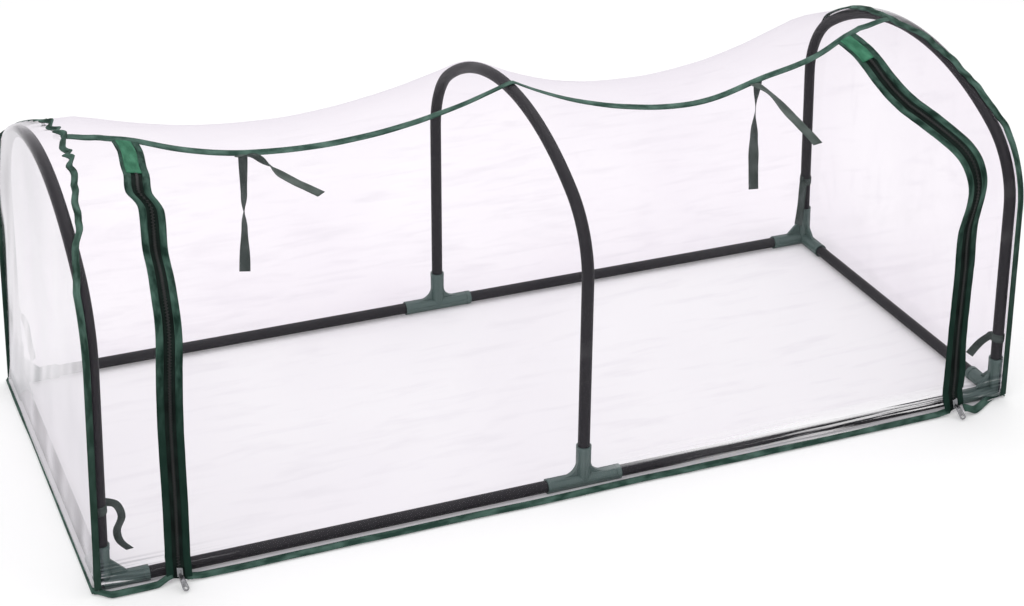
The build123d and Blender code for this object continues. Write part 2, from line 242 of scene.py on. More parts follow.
@dataclass
class Drape:
    """How the cover lies over the frame, as a surface of place along the rails and arc from the apex.

    Arc lengths are negative towards the front.
    """

    leg_height: float = 0.407
    shoulder_radius: float = 0.172
    end_lean: float = 0.026
    zip_place: float = 0.782
    zip_lean: float = 0.050
    film_gap: float = 0.001
    left_sag: float = 0.071
    right_sag: float = 0.101
    sag_end: float = 0.812
    hoop_wrap: float = 0.005
    spring_sag_share: float = 0.75
    knee_height: float = 0.045
    foot_height: float = 0.004
    corner_length: float = 0.090
    ridge_arc: float = -0.025
    ridge_end_arc: float = 0.024
    ridge_turn: float = 0.60
    ripple_depth: float = 0.0016
    ripple_reach: float = 0.075
    long_ripple: Span = (4.0, 15.0)
    long_layer: float = 1.7
    short_ripple: Span = (13.0, 40.0)
    short_layer: float = 6.1
    short_slant: float = 9.0 / 13.0
    short_share: float = 0.5
    billows: tuple[Billow, ...] = (
        Billow(0.795, -0.430, 0.055, 0.045, 0.050),
        Billow(0.782, -0.215, 0.060, 0.085, -0.030),
        Billow(0.835, -0.860, 0.026, 0.030, 0.014),
        Billow(0.815, 0.000, 0.030, 0.100, -0.009),
        Billow(-0.815, 0.000, 0.030, 0.100, -0.009),
        Billow(0.580, 0.000, 0.080, 0.120, 0.020),
        Billow(-0.775, -0.185, 0.045, 0.030, 0.012),
        Billow(-0.775, -0.300, 0.055, 0.065, -0.036),
        Billow(-0.380, -0.520, 0.180, 0.110, 0.006),
        Billow(0.420, -0.560, 0.200, 0.120, 0.007),
        Billow(-0.420, 0.480, 0.200, 0.120, -0.008),
        Billow(0.430, 0.470, 0.200, 0.120, -0.010),
    )
    left_seam: Course = Course((
        (-0.38, -0.0125), (-0.33, -0.004), (-0.23, 0.017), (-0.10, 0.031), (0.02, 0.037), (0.14, 0.030),
        (0.30, 0.010), (0.40, -0.0125)))
    right_seam: Course = Course((
        (-0.38, -0.0125), (-0.29, -0.004), (-0.20, 0.004), (-0.10, 0.012), (0.02, 0.027), (0.14, 0.024),
        (0.30, 0.004), (0.40, -0.0125)))
    left_sway: Course = Course((
        (0.03, 0.010), (0.12, 0.000), (0.185, -0.008), (0.215, 0.007), (0.30, 0.000), (0.42, -0.007),
        (0.52, -0.009), (0.95, 0.009)))
    right_sway: Course = Course(((0.12, 0.000), (0.40, 0.024), (0.55, 0.024), (0.95, 0.008)))

    def __post_init__(self) -> None:
        """Reads the frame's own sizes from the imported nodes."""
        hoop_low, hoop_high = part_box("middle_hoop")
        rail_low, rail_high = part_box("front_right_rail")
        end_low, end_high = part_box("right_end_rail")
        hem_low, hem_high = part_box("door_hem")
        end_hem_low, end_hem_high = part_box("right_hem")
        _, corner_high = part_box("front_right_corner")
        self.tube_radius = (hoop_high.x - hoop_low.x) / 2
        self.rail_height = (rail_low.z + rail_high.z) / 2
        self.bay_length = (end_low.x + end_high.x) / 2
        self.half_spacing = hoop_high.y - self.tube_radius
        self.arch_rise = hoop_high.z - self.tube_radius - self.rail_height - self.leg_height
        self.stand_off = corner_high.x - self.bay_length + self.film_gap
        self.hem_offset = -(hem_low.y + hem_high.y) / 2
        self.end_hem_offset = (end_hem_low.x + end_hem_high.x) / 2
        self.half_span = self.half_spacing + self.stand_off
        self.crown_stand = self.tube_radius + self.film_gap

    def lean(self, x: float) -> float:
        """Gives the angle that the section at x leans in.

        Args:
            x: Place along the rails.

        Returns:
            The angle, positive at the right end.
        """
        reach = abs(x)
        lean = self.zip_lean * reach / self.zip_place
        if reach > self.zip_place:
            share = (reach - self.zip_place) / (self.bay_length - self.zip_place)
            lean = blend(self.zip_lean, self.end_lean, share)
        return math.copysign(math.asin(lean / (self.leg_height + self.arch_rise)), x)

    def stand(self, x: float, across: float, up: float) -> Vector:
        """Puts a point of the section at x in the tunnel's frame.

        Args:
            x: Place along the rails.
            across: Distance from the middle, positive at the back.
            up: Height above the rails, along the leaning section.

        Returns:
            The point.
        """
        held = max(-self.bay_length, min(self.bay_length, x))
        angle = self.lean(held)
        beyond = x - held
        return Vector((held + beyond * math.cos(angle) - up * math.sin(angle), across,
                       self.rail_height + beyond * math.sin(angle) + up * math.cos(angle)))

    def section(self, x: float) -> Arch:
        """Gives the film's arch at x, hanging between the middle hoop and a zip.

        Args:
            x: Place along the rails.

        Returns:
            The arch.
        """
        along = max(0.0, min(1.0, (abs(x) - self.hoop_wrap) / (self.sag_end - self.hoop_wrap)))
        sag = 4 * (self.left_sag if x < 0 else self.right_sag) * along * (1 - along)
        spring = self.leg_height - self.spring_sag_share * sag
        rise = self.arch_rise + self.crown_stand - (1 - self.spring_sag_share) * sag
        spread = smooth((self.bay_length + self.crown_stand - abs(x)) / self.corner_length)
        return Arch.fit(self.half_span, spring, rise, self.shoulder_radius + self.crown_stand,
                        self.knee_height - self.rail_height, self.foot_height - self.rail_height,
                        (self.hem_offset - self.half_span) * spread)

    def slack(self, x: float) -> float:
        """Gives how free the film is to move at x: none over a hoop, all of it a hand's width away."""
        nearest = min(abs(x), abs(abs(x) - self.bay_length))
        return smooth(nearest / self.ripple_reach)

    def billow(self, x: float, arc: float) -> float:
        """Adds up the swells, hollows and ripples at a place on the cover.

        Args:
            x: Place along the rails.
            arc: Signed arc length from the apex.

        Returns:
            Distance that the film stands out from the plain drape.
        """
        swell = sum(billow.at(x, arc) for billow in self.billows)
        slant = x + arc * self.short_slant
        wave = ripple(x, arc, self.long_ripple, self.long_layer)
        wave += self.short_share * ripple(slant, arc, self.short_ripple, self.short_layer)
        return self.slack(x) * (swell + self.ripple_depth * wave)

    def place(self, x: float, arc: float, lift: float = 0.0) -> Vector:
        """Puts a point of the cover in the tunnel's frame.

        Args:
            x: Place along the rails.
            arc: Signed arc length from the apex.
            lift: Distance out from the film.

        Returns:
            The point.
        """
        out, up, tilt = self.section(x).at(abs(arc))
        proud = lift + self.billow(x, arc)
        return self.stand(x, math.copysign(out + proud * math.sin(tilt), arc), up + proud * math.cos(tilt))

    def ridge(self, x: float) -> float:
        """Gives the arc place of the ridge seam at x; it turns back to the apex at the ends."""
        share = smooth((abs(x) - self.ridge_turn) / (self.bay_length - self.ridge_turn))
        return blend(self.ridge_arc, self.ridge_end_arc, share)

    def seam(self, end: End, arc: float) -> float:
        """Gives the place along the rails of an end seam.

        Args:
            end: The end of the tunnel.
            arc: Signed arc length from the apex.

        Returns:
            The place, inside the hoop at the top and outside it down the legs.
        """
        course = self.left_seam if end is End.LEFT else self.right_seam
        return end.value * (self.bay_length - course.at(arc))

    def zip_line(self, end: End, arc: float) -> float:
        """Gives the place along the rails of a zip's middle.

        Args:
            end: The end that the zip is near.
            arc: Signed arc length from the apex.

        Returns:
            The place, with the sway that the stiff tape takes.
        """
        course = self.left_sway if end is End.LEFT else self.right_sway
        return end.value * self.zip_place + course.at(abs(arc))


class NodeBench:
    """Lays out the nodes of one material or node group."""

    def __init__(self, tree: bpy.types.NodeTree) -> None:
        """Takes an emptied node tree to work on."""
        self.tree = tree
        tree.nodes.clear()

    def add(self, kind: str, values: dict[str | int, object] | None = None,
            **settings: object) -> bpy.types.Node:
        """Adds one node.

        Args:
            kind: Blender's node type.
            values: Values or sockets for the node's inputs, by input name or number.
            settings: Settings of the node itself.

        Returns:
            The node.
        """
        node = self.tree.nodes.new(kind)
        for name, setting in settings.items():
            setattr(node, name, setting)
        for name, value in (values or {}).items():
            if isinstance(value, Socket):
                self.tree.links.new(value, node.inputs[name])
            else:
                node.inputs[name].default_value = value
        return node

    def mix(self, share: object, first: object, second: object) -> Socket:
        """Mixes two colours and gives the mixed socket.

        Args:
            share: Share of the second colour, a number or a socket.
            first: First colour or socket.
            second: Second colour or socket.

        Returns:
            The mixed colour's socket.
        """
        return self.add("ShaderNodeMix", {0: share, 6: first, 7: second}, data_type="RGBA").outputs[2]

    def sum(self, operation: str, first: object, second: object) -> Socket:
        """Works out one sum of two numbers or sockets and gives its socket."""
        return self.add("ShaderNodeMath", {0: first, 1: second}, operation=operation).outputs[0]

    def times(self, first: object, *others: object) -> Socket:
        """Multiplies numbers or sockets, one after another.

        Args:
            first: First number or socket.
            others: The others.

        Returns:
            The product's socket.
        """
        for other in others:
            first = self.sum("MULTIPLY", first, other)
        return first

    def ramp(self, value: object, span: Span, start: object = 0.0) -> Socket:
        """Goes from a start, 0 if none is given, to 1 while a value crosses a span."""
        inputs = {"Value": value, "From Min": span[0], "From Max": span[1], "To Min": start}
        return self.add("ShaderNodeMapRange", inputs).outputs[0]

    def noise(self, spot: object, scale: object, detail: float, distortion: float = 0.0) -> Socket:
        """Adds a noise texture and gives its value's socket."""
        inputs = {"Vector": spot, "Scale": scale, "Detail": detail, "Distortion": distortion}
        return self.add("ShaderNodeTexNoise", inputs).outputs[0]

    def stretch(self, spot: object, factors: object) -> Socket:
        """Multiplies a vector by a factor for each axis."""
        return self.add("ShaderNodeVectorMath", {0: spot, 1: factors}, operation="MULTIPLY").outputs[0]

    def axes(self, spot: object) -> Sockets:
        """Splits a vector into its three axes."""
        return self.add("ShaderNodeSeparateXYZ", {"Vector": spot}).outputs

    def spots(self) -> Sockets:
        """Gives the texture coordinates."""
        return self.add("ShaderNodeTexCoord").outputs

    def bump(self, height: object, strength: float, distance: float) -> Socket:
        """Turns a height into a normal."""
        inputs = {"Height": height, "Strength": strength, "Distance": distance}
        return self.add("ShaderNodeBump", inputs).outputs[0]

    def group(self, tree: bpy.types.NodeTree, values: dict[str, object]) -> Sockets:
        """Adds a node group and gives its outputs."""
        return self.add("ShaderNodeGroup", values, node_tree=tree).outputs


def rgba(colour: Colour) -> tuple[float, float, float, float]:
    """Adds a full alpha to a colour."""
    return (*colour, 1.0)


def new_group(name: str, takes: dict[str, str],
              gives: dict[str, str]) -> tuple[NodeBench, Sockets]:
    """Starts a node group with its sockets.

    Args:
        name: Name of the group.
        takes: Socket type of each input.
        gives: Socket type of each output.

    Returns:
        A bench to lay it out, and its inputs.
    """
    tree = bpy.data.node_groups.new(name, "ShaderNodeTree")
    for direction, sockets in (("INPUT", takes), ("OUTPUT", gives)):
        for label, kind in sockets.items():
            tree.interface.new_socket(label, in_out=direction, socket_type=kind)
    bench = NodeBench(tree)
    return bench, bench.add("NodeGroupInput").outputs


def new_material(name: str) -> tuple[bpy.types.Material, NodeBench]:
    """Starts a material with an empty node tree.

    Args:
        name: Name of the material.

    Returns:
        The material and a bench to lay it out.
    """
    made = bpy.data.materials.new(name)
    made.use_nodes = True
    return made, NodeBench(made.node_tree)


class Effects:
    """Shader node groups that several finishes share, each built once."""

    WEAR_SCALE = 9.0
    WEAR_SPAN: Span = (0.35, 0.75)
    WEAR_SHARE = 0.45
    # Heights in metres over which a tape's painted top light rises from its low share to full.
    PAINTED_TOP_LIGHT_SPAN: Span = (0.26, 0.50)
    STREAKS = (26.0, 130.0, 1.0)
    STREAK_SPAN: Span = (0.38, 0.66)
    SHADE_SHARE = 0.45
    BROAD_SPAN: Span = (0.55, 0.80)
    FINE_SPAN: Span = (0.50, 0.72)
    FINE_PER_BROAD = 4.0
    CLOUD_SCALE = 2.6
    CLOUD_SPAN: Span = (0.36, 0.62)

    @classmethod
    @cache
    def grain(cls) -> bpy.types.NodeTree:
        """Builds the fine grain of coated and moulded surfaces.

        Returns:
            The group, with a colour, a roughness and a height.
        """
        takes = {"Colour": COLOUR, "Worn": COLOUR, "Scale": VALUE, "Roughness": VALUE, "Spread": VALUE}
        gives = {"Colour": COLOUR, "Roughness": VALUE, "Height": VALUE}
        bench, given = new_group("surface_grain", takes, gives)
        spot = bench.spots()["Object"]
        fine = bench.noise(spot, given["Scale"], 3.0)
        wear = bench.ramp(bench.noise(spot, cls.WEAR_SCALE, 4.0), cls.WEAR_SPAN)
        tone = bench.mix(bench.times(wear, cls.WEAR_SHARE), given["Colour"], given["Worn"])
        spread = bench.times(bench.sum("SUBTRACT", fine, 0.5), given["Spread"], 2.0)
        rough = bench.sum("ADD", given["Roughness"], spread)
        bench.add("NodeGroupOutput", {"Colour": tone, "Roughness": rough, "Height": fine})
        return bench.tree

    @classmethod
    @cache
    def weave(cls) -> bpy.types.NodeTree:
        """Builds the rib weave of narrow tapes, laid out on each tape's own UV map in metres, with random
        fading streaks and a painted top light that darkens tape towards the bottom.

        Returns:
            The group, with a colour and a height.
        """
        takes = {"Thread": COLOUR, "Shade": COLOUR, "Faded": COLOUR, "Pitch": VALUE, "Low Light": VALUE}
        bench, given = new_group("tape_weave", takes, {"Colour": COLOUR, "Height": VALUE})
        spots = bench.spots()
        axes = bench.axes(spots["UV"])
        # Painted top light: the share of the lighter tone grows with height, so tape low down is painted in
        # shade.
        painted_top_light = bench.ramp(bench.axes(spots["Object"])["Z"], cls.PAINTED_TOP_LIGHT_SPAN, given["Low Light"])
        turn = bench.times(given["Pitch"], math.tau)
        warp, weft = (bench.sum("SINE", bench.times(axes[axis], turn), 0.0) for axis in "YX")
        cloth = bench.times(bench.sum("ADD", bench.times(warp, weft), 1.0), 0.5)
        streaks = bench.noise(bench.stretch(spots["UV"], cls.STREAKS), 1.0, 5.0)
        fade = bench.times(bench.ramp(streaks, cls.STREAK_SPAN), painted_top_light)
        tone = bench.mix(fade, given["Thread"], given["Faded"])
        tone = bench.mix(bench.times(cloth, cls.SHADE_SHARE), tone, given["Shade"])
        bench.add("NodeGroupOutput", {"Colour": tone, "Height": cloth})
        return bench.tree

    @classmethod
    @cache
    def creases(cls) -> bpy.types.NodeTree:
        """Builds the soft creases and large patches of thin film; the film paints haze and highlight streaks
        on broad creases, shade on fine creases and a reflection veil on the patches.

        Returns:
            The group, with masks of broad creases, fine creases and clouds, and a height.
        """
        bench, given = new_group("film_creases", {"Stretch": VECTOR, "Scale": VALUE},
                                 dict.fromkeys(("Broad", "Fine", "Cloud", "Height"), VALUE))
        spot = bench.spots()["Object"]
        drawn = bench.stretch(spot, given["Stretch"])
        broad = bench.noise(drawn, given["Scale"], 3.0, 0.4)
        fine = bench.noise(drawn, bench.times(given["Scale"], cls.FINE_PER_BROAD), 3.0, 0.3)
        cloud = bench.noise(spot, cls.CLOUD_SCALE, 2.0)
        bench.add("NodeGroupOutput", {
            "Broad": bench.ramp(broad, cls.BROAD_SPAN), "Fine": bench.ramp(fine, cls.FINE_SPAN),
            "Cloud": bench.ramp(cloud, cls.CLOUD_SPAN), "Height": broad})
        return bench.tree


@dataclass(frozen=True)
class FootGlareAndShade:
    """Where painted glare and the painted shade of fine fold lines show along the foot of the front film, by
    place in metres.
    """

    lines: tuple[float, float, float] = (2.6, 40.0, 170.0)
    front: Span = (-0.37, -0.39)
    glare_foot: Span = (0.033, 0.037)
    glare_head: Span = (0.066, 0.044)
    glare_start: Span = (0.02, 0.30)
    glare_stop: Span = (0.82, 0.72)
    glare_lines: Span = (0.34, 0.46)
    corner: Span = (0.66, 0.84)
    corner_share: float = 0.8
    streak_head: Span = (0.060, 0.030)
    streak_start: Span = (0.15, 0.80)
    streak_lines: Span = (0.56, 0.64)
    low_head: Span = (0.016, 0.012)
    low_start: Span = (-0.75, 0.55)
    edge_head: Span = (0.070, 0.045)
    dark_lines: Span = (0.50, 0.42)

    @cache
    def group(self) -> bpy.types.NodeTree:
        """Builds the painted glare and the painted shade of the fine fold lines.

        Returns:
            The group, with masks of painted highlight and painted shade along the fold lines.
        """
        bench, _ = new_group("foot_glare_and_shade", {}, {"Bright": VALUE, "Dark": VALUE})
        spot = bench.spots()["Object"]
        x, y, z = bench.axes(spot)
        lines = bench.noise(bench.stretch(spot, self.lines), 1.0, 3.0)
        front = bench.ramp(y, self.front)
        # Painted highlight: bright glare lines a few centimetres up the right half of the foot, and lower
        # bright streaks towards the right and the corners.
        glare = bench.times(bench.ramp(z, self.glare_foot), bench.ramp(z, self.glare_head),
                            bench.ramp(x, self.glare_start), bench.ramp(x, self.glare_stop),
                            bench.ramp(lines, self.glare_lines))
        corner = bench.times(bench.ramp(bench.sum("ABSOLUTE", x, 0.0), self.corner), self.corner_share)
        foot = bench.sum("MAXIMUM", bench.ramp(x, self.streak_start), corner)
        streak = bench.times(bench.ramp(z, self.streak_head), foot, bench.ramp(lines, self.streak_lines))
        # Painted shade: dark fold lines low along the foot and up the corners.
        low = bench.times(bench.ramp(z, self.low_head), bench.ramp(x, self.low_start))
        edge = bench.times(bench.ramp(z, self.edge_head), corner)
        shade = bench.times(bench.sum("MAXIMUM", low, edge), bench.ramp(lines, self.dark_lines))
        bench.add("NodeGroupOutput", {"Bright": bench.times(bench.sum("MAXIMUM", glare, streak), front),
                                      "Dark": bench.times(shade, front)})
        return bench.tree


@dataclass(frozen=True)
class Finish:
    """A material of one look, made once however often it is asked for."""

    name: str

    def surface(self, bench: NodeBench) -> Socket:
        """Lays out the finish's own nodes and gives the shader's socket."""
        raise NotImplementedError

    @cache
    def material(self) -> bpy.types.Material:
        """Makes the material, once.

        Returns:
            The material.
        """
        made, bench = new_material(self.name)
        bench.add("ShaderNodeOutputMaterial", {"Surface": self.surface(bench)})
        return made


@dataclass(frozen=True)
class GrainFinish(Finish):
    """A coated or moulded surface with a fine grain."""

    colour: Colour
    worn: Colour
    roughness: float
    spread: float = 0.12
    grain_scale: float = 300.0
    bump: float = 0.05
    bump_depth: float = 0.001
    metallic: float = 0.0
    specular: float = 0.5

    def surface(self, bench: NodeBench) -> Socket:
        """Lays out the grain.

        Args:
            bench: The material's bench.

        Returns:
            The shader's socket.
        """
        grain = bench.group(Effects.grain(), {
            "Colour": rgba(self.colour), "Worn": rgba(self.worn), "Scale": self.grain_scale,
            "Roughness": self.roughness, "Spread": self.spread})
        return bench.add("ShaderNodeBsdfPrincipled", {
            "Base Color": grain["Colour"], "Roughness": grain["Roughness"],
            "Normal": bench.bump(grain["Height"], self.bump, self.bump_depth),
            "Metallic": self.metallic, "Specular IOR Level": self.specular}).outputs[0]


@dataclass(frozen=True)
class WovenFinish(Finish):
    """A narrow woven tape with random fading streaks, and a painted top light that makes it lighter the
    higher it lies and darker towards the bottom.
    """

    thread: Colour
    shade: Colour
    faded: Colour
    # Share of the lighter tone that tape low down keeps under the painted top light; 1.0 paints no shade.
    low_light: float = 1.0
    pitch: float = 650.0
    roughness: float = 0.75
    bump: float = 0.35
    bump_depth: float = 0.0006
    specular: float = 0.18

    def surface(self, bench: NodeBench) -> Socket:
        """Lays out the weave.

        Args:
            bench: The material's bench.

        Returns:
            The shader's socket.
        """
        weave = bench.group(Effects.weave(), {
            "Thread": rgba(self.thread), "Shade": rgba(self.shade), "Faded": rgba(self.faded),
            "Pitch": self.pitch, "Low Light": self.low_light})
        return bench.add("ShaderNodeBsdfPrincipled", {
            "Base Color": weave["Colour"], "Roughness": self.roughness,
            "Normal": bench.bump(weave["Height"], self.bump, self.bump_depth),
            "Specular IOR Level": self.specular}).outputs[0]


@dataclass(frozen=True)
class FilmFinish(Finish):
    """Clear soft film: a faint tint that deepens at a glance, gloss, hazy creases with painted highlight
    streaks, painted shade on fine creases, patches of painted reflection veil, and painted glare and shade
    along the foot.
    """

    clear: Colour = (0.948, 0.922, 0.953)
    # Tint of the patches that paint a faint reflection veil, whiter than the clear tint.
    painted_veil_tint: Colour = (0.982, 0.963, 0.984)
    glance: Colour = (0.885, 0.860, 0.895)
    glance_power: float = 2.0
    shade: Colour = (0.86, 0.845, 0.87)
    gloss: Colour = (1.0, 0.99, 1.0)
    gloss_dim: Colour = (0.93, 0.91, 0.94)
    # White of the haze on creases and of the foot's glare: real haze and painted highlight.
    haze_and_highlight: Colour = (0.95, 0.94, 0.96)
    milk_roughness: float = 0.45
    # Tint painted along the dark fold lines of the foot: painted shade and dark reflections.
    painted_fold_tint: Colour = (0.34, 0.33, 0.36)
    stretch: tuple[float, float, float] = (0.25, 1.0, 2.0)
    crease_scale: float = 7.0
    # Haze share of broad creases, which also paints their white highlight streaks.
    crease_haze_and_highlight: float = 0.035
    # Share of the deeper glancing tint painted along fine crease lines: painted shade.
    fine_share: float = 0.55
    # Shares of white haze and of gloss on the foot's glare: a painted highlight.
    painted_glare_haze: float = 0.60
    painted_glare_gloss: float = 0.60
    # Share of the painted shade along the foot's dark fold lines.
    painted_fold_shade: float = 0.75
    even_gloss: float = 0.002
    edge_gloss: float = 0.06
    edge_power: float = 6.0
    most_gloss: float = 0.92
    roughness: float = 0.10
    bump: float = 0.12
    bump_depth: float = 0.01

    def surface(self, bench: NodeBench) -> Socket:
        """Lays out the film: what it lets through, with painted crease shade, reflection veils and fold
        shade, its haze with painted highlights, and its gloss.

        Args:
            bench: The material's bench.

        Returns:
            The shader's socket.
        """
        creases = bench.group(Effects.creases(), {"Stretch": self.stretch, "Scale": self.crease_scale})
        painted_foot_marks = bench.group(FootGlareAndShade().group(), {})
        relief = bench.bump(creases["Height"], self.bump, self.bump_depth)
        facing = bench.add("ShaderNodeLayerWeight", {"Blend": 0.5}).outputs["Facing"]
        # Fine crease lines take the deeper glancing tint: painted shade along creases.
        glance = bench.sum("MAXIMUM", bench.sum("POWER", facing, self.glance_power),
                           bench.times(creases["Fine"], self.fine_share))
        # Painted reflection veil: patches of a whiter tint.
        tint = bench.mix(creases["Cloud"], rgba(self.clear), rgba(self.painted_veil_tint))
        tint = bench.mix(glance, tint, rgba(self.glance))
        # Painted shade and dark reflections along the foot's fold lines.
        tint = bench.mix(bench.times(painted_foot_marks["Dark"], self.painted_fold_shade), tint, rgba(self.painted_fold_tint))
        seen = bench.add("ShaderNodeLightPath").outputs["Is Camera Ray"]
        tint = bench.mix(seen, rgba(self.shade), tint)
        through = bench.add("ShaderNodeBsdfTransparent", {"Color": tint}).outputs[0]
        haze_and_highlight_shader = bench.add("ShaderNodeBsdfPrincipled", {
            "Base Color": rgba(self.haze_and_highlight), "Roughness": self.milk_roughness, "Normal": relief}).outputs[0]
        # White haze on broad creases and on the foot's glare: real haze with painted highlight streaks.
        haze_and_highlight = bench.sum("ADD", bench.times(creases["Broad"], self.crease_haze_and_highlight),
                         bench.times(painted_foot_marks["Bright"], self.painted_glare_haze))
        body = bench.add("ShaderNodeMixShader", {0: haze_and_highlight, 1: through, 2: haze_and_highlight_shader}).outputs[0]
        shine = bench.mix(creases["Cloud"], rgba(self.gloss_dim), rgba(self.gloss))
        gloss = bench.add("ShaderNodeBsdfAnisotropic", {
            "Color": shine, "Roughness": self.roughness, "Normal": relief}).outputs[0]
        edge = bench.times(bench.sum("POWER", facing, self.edge_power), self.edge_gloss)
        # More gloss on the foot's glare: a painted highlight.
        edge = bench.sum("ADD", edge, bench.times(painted_foot_marks["Bright"], self.painted_glare_gloss))
        edge = bench.sum("MINIMUM", bench.sum("ADD", edge, self.even_gloss), self.most_gloss)
        return bench.add("ShaderNodeMixShader", {0: edge, 1: body, 2: gloss}).outputs[0]


COATED_TUBE = GrainFinish("coated_tube", (0.021, 0.0205, 0.023), (0.036, 0.035, 0.038), 0.50, spread=0.03,
                          bump=0.02, specular=0.22)
MOULDED_SLATE = GrainFinish("moulded_slate", (0.075, 0.120, 0.108), (0.130, 0.180, 0.165), 0.42, bump=0.08)
BLACK_COIL = GrainFinish("black_coil", (0.005, 0.006, 0.006), (0.014, 0.017, 0.016), 0.55, grain_scale=900.0)
ZIP_METAL = GrainFinish("zip_metal", (0.24, 0.24, 0.25), (0.16, 0.16, 0.17), 0.30, metallic=1.0)
# The ridge, hem and end bindings are one green tape in lit and shaded copies: painted light makes the ridge
# binding lightest and the end bindings darkest.
RIDGE_BINDING = WovenFinish("green_ridge_binding", (0.026, 0.066, 0.050), (0.011, 0.034, 0.025),
                            (0.125, 0.215, 0.178))
HEM_BINDING = WovenFinish("green_hem_binding", (0.014, 0.044, 0.032), (0.005, 0.021, 0.014),
                          (0.088, 0.162, 0.132))
END_BINDING = WovenFinish("green_end_binding", (0.009, 0.031, 0.021), (0.003, 0.014, 0.009),
                          (0.100, 0.184, 0.150), low_light=0.16)
GREEN_ZIP_TAPE = WovenFinish("green_zip_tape", (0.005, 0.022, 0.015), (0.002, 0.010, 0.007),
                             (0.070, 0.142, 0.112), low_light=0.08, specular=0.10)
BLACK_ZIP_TAPE = WovenFinish("black_zip_tape", (0.005, 0.008, 0.007), (0.003, 0.004, 0.004),
                             (0.012, 0.022, 0.018), specular=0.05)
BRIGHT_TAB = WovenFinish("bright_zip_tab", (0.024, 0.125, 0.068), (0.010, 0.062, 0.034),
                         (0.066, 0.245, 0.145))
GREY_TIE = WovenFinish("grey_green_tie", (0.060, 0.076, 0.070), (0.026, 0.036, 0.032),
                       (0.120, 0.145, 0.135))
ROOF_FILM = FilmFinish("clear_film")
END_FILM = FilmFinish("clear_end_film", stretch=(1.0, 1.6, 0.5), crease_scale=3.5, crease_haze_and_highlight=0.10,
                      edge_gloss=2.5, edge_power=7.0, gloss=(0.88, 0.86, 0.89),
                      gloss_dim=(0.77, 0.755, 0.785))


def link(name: str, data: bpy.types.ID) -> bpy.types.Object:
    """Makes an object and puts it in the scene.

    Args:
        name: Name of the object.
        data: Its mesh, lamp or camera.

    Returns:
        The object.
    """
    made = bpy.data.objects.new(name, data)
    bpy.context.scene.collection.objects.link(made)
    return made


def settle(name: str, mesh: bmesh.types.BMesh, finish: Finish, slot: Slot,
           replaces: Sequence[str] = ()) -> bpy.types.Object:
    """Turns a finished bmesh into a piece that rides on the frame.

    Args:
        name: Name of the piece.
        mesh: The finished mesh, which is freed.
        finish: The finish that it takes.
        slot: Slot for that finish; not used.
        replaces: CAD nodes that the piece stands for.

    Returns:
        The piece.
    """
    data = bpy.data.meshes.new(name)
    for face in mesh.faces:
        face.smooth = True
    mesh.to_mesh(data)
    mesh.free()
    piece = link(name, data)
    data.materials.append(finish.material())
    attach(piece, BODY)
    if replaces:
        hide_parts(*replaces)
    LOG.info("%s: %d faces, %s", name, len(data.polygons), finish.name)
    return piece


def turned(across: Vector, ahead: Vector) -> Matrix:
    """Gives the turn that lays x across and y ahead."""
    return Matrix((across, ahead, across.cross(ahead))).transposed().to_4x4()


def mapped_grid(mesh: bmesh.types.BMesh, columns: int, rows: int, place: Callable[[float, float], Vector],
                scale: tuple[float, float] = (1.0, 1.0)) -> list[bmesh.types.BMVert]:
    """Adds a grid and lays it on a surface, with its UV map scaled to real lengths.

    Args:
        mesh: The bmesh to add to.
        columns: Steps in the first direction.
        rows: Steps in the second direction.
        place: Gives the point for two shares from 0 to 1.
        scale: Real lengths that the two shares stand for.

    Returns:
        The grid's vertices.
    """
    layer = mesh.loops.layers.uv.verify()
    verts = bmesh.ops.create_grid(mesh, x_segments=columns, y_segments=rows, size=0.5)["verts"]
    shares = {vert: (vert.co.x + 0.5, vert.co.y + 0.5) for vert in verts}
    faces = {face for vert in verts for face in vert.link_faces}
    for face in faces:
        for loop in face.loops:
            first, second = shares[loop.vert]
            loop[layer].uv = (first * scale[0], second * scale[1])
    for vert, (first, second) in shares.items():
        vert.co = place(first, second)
    return verts


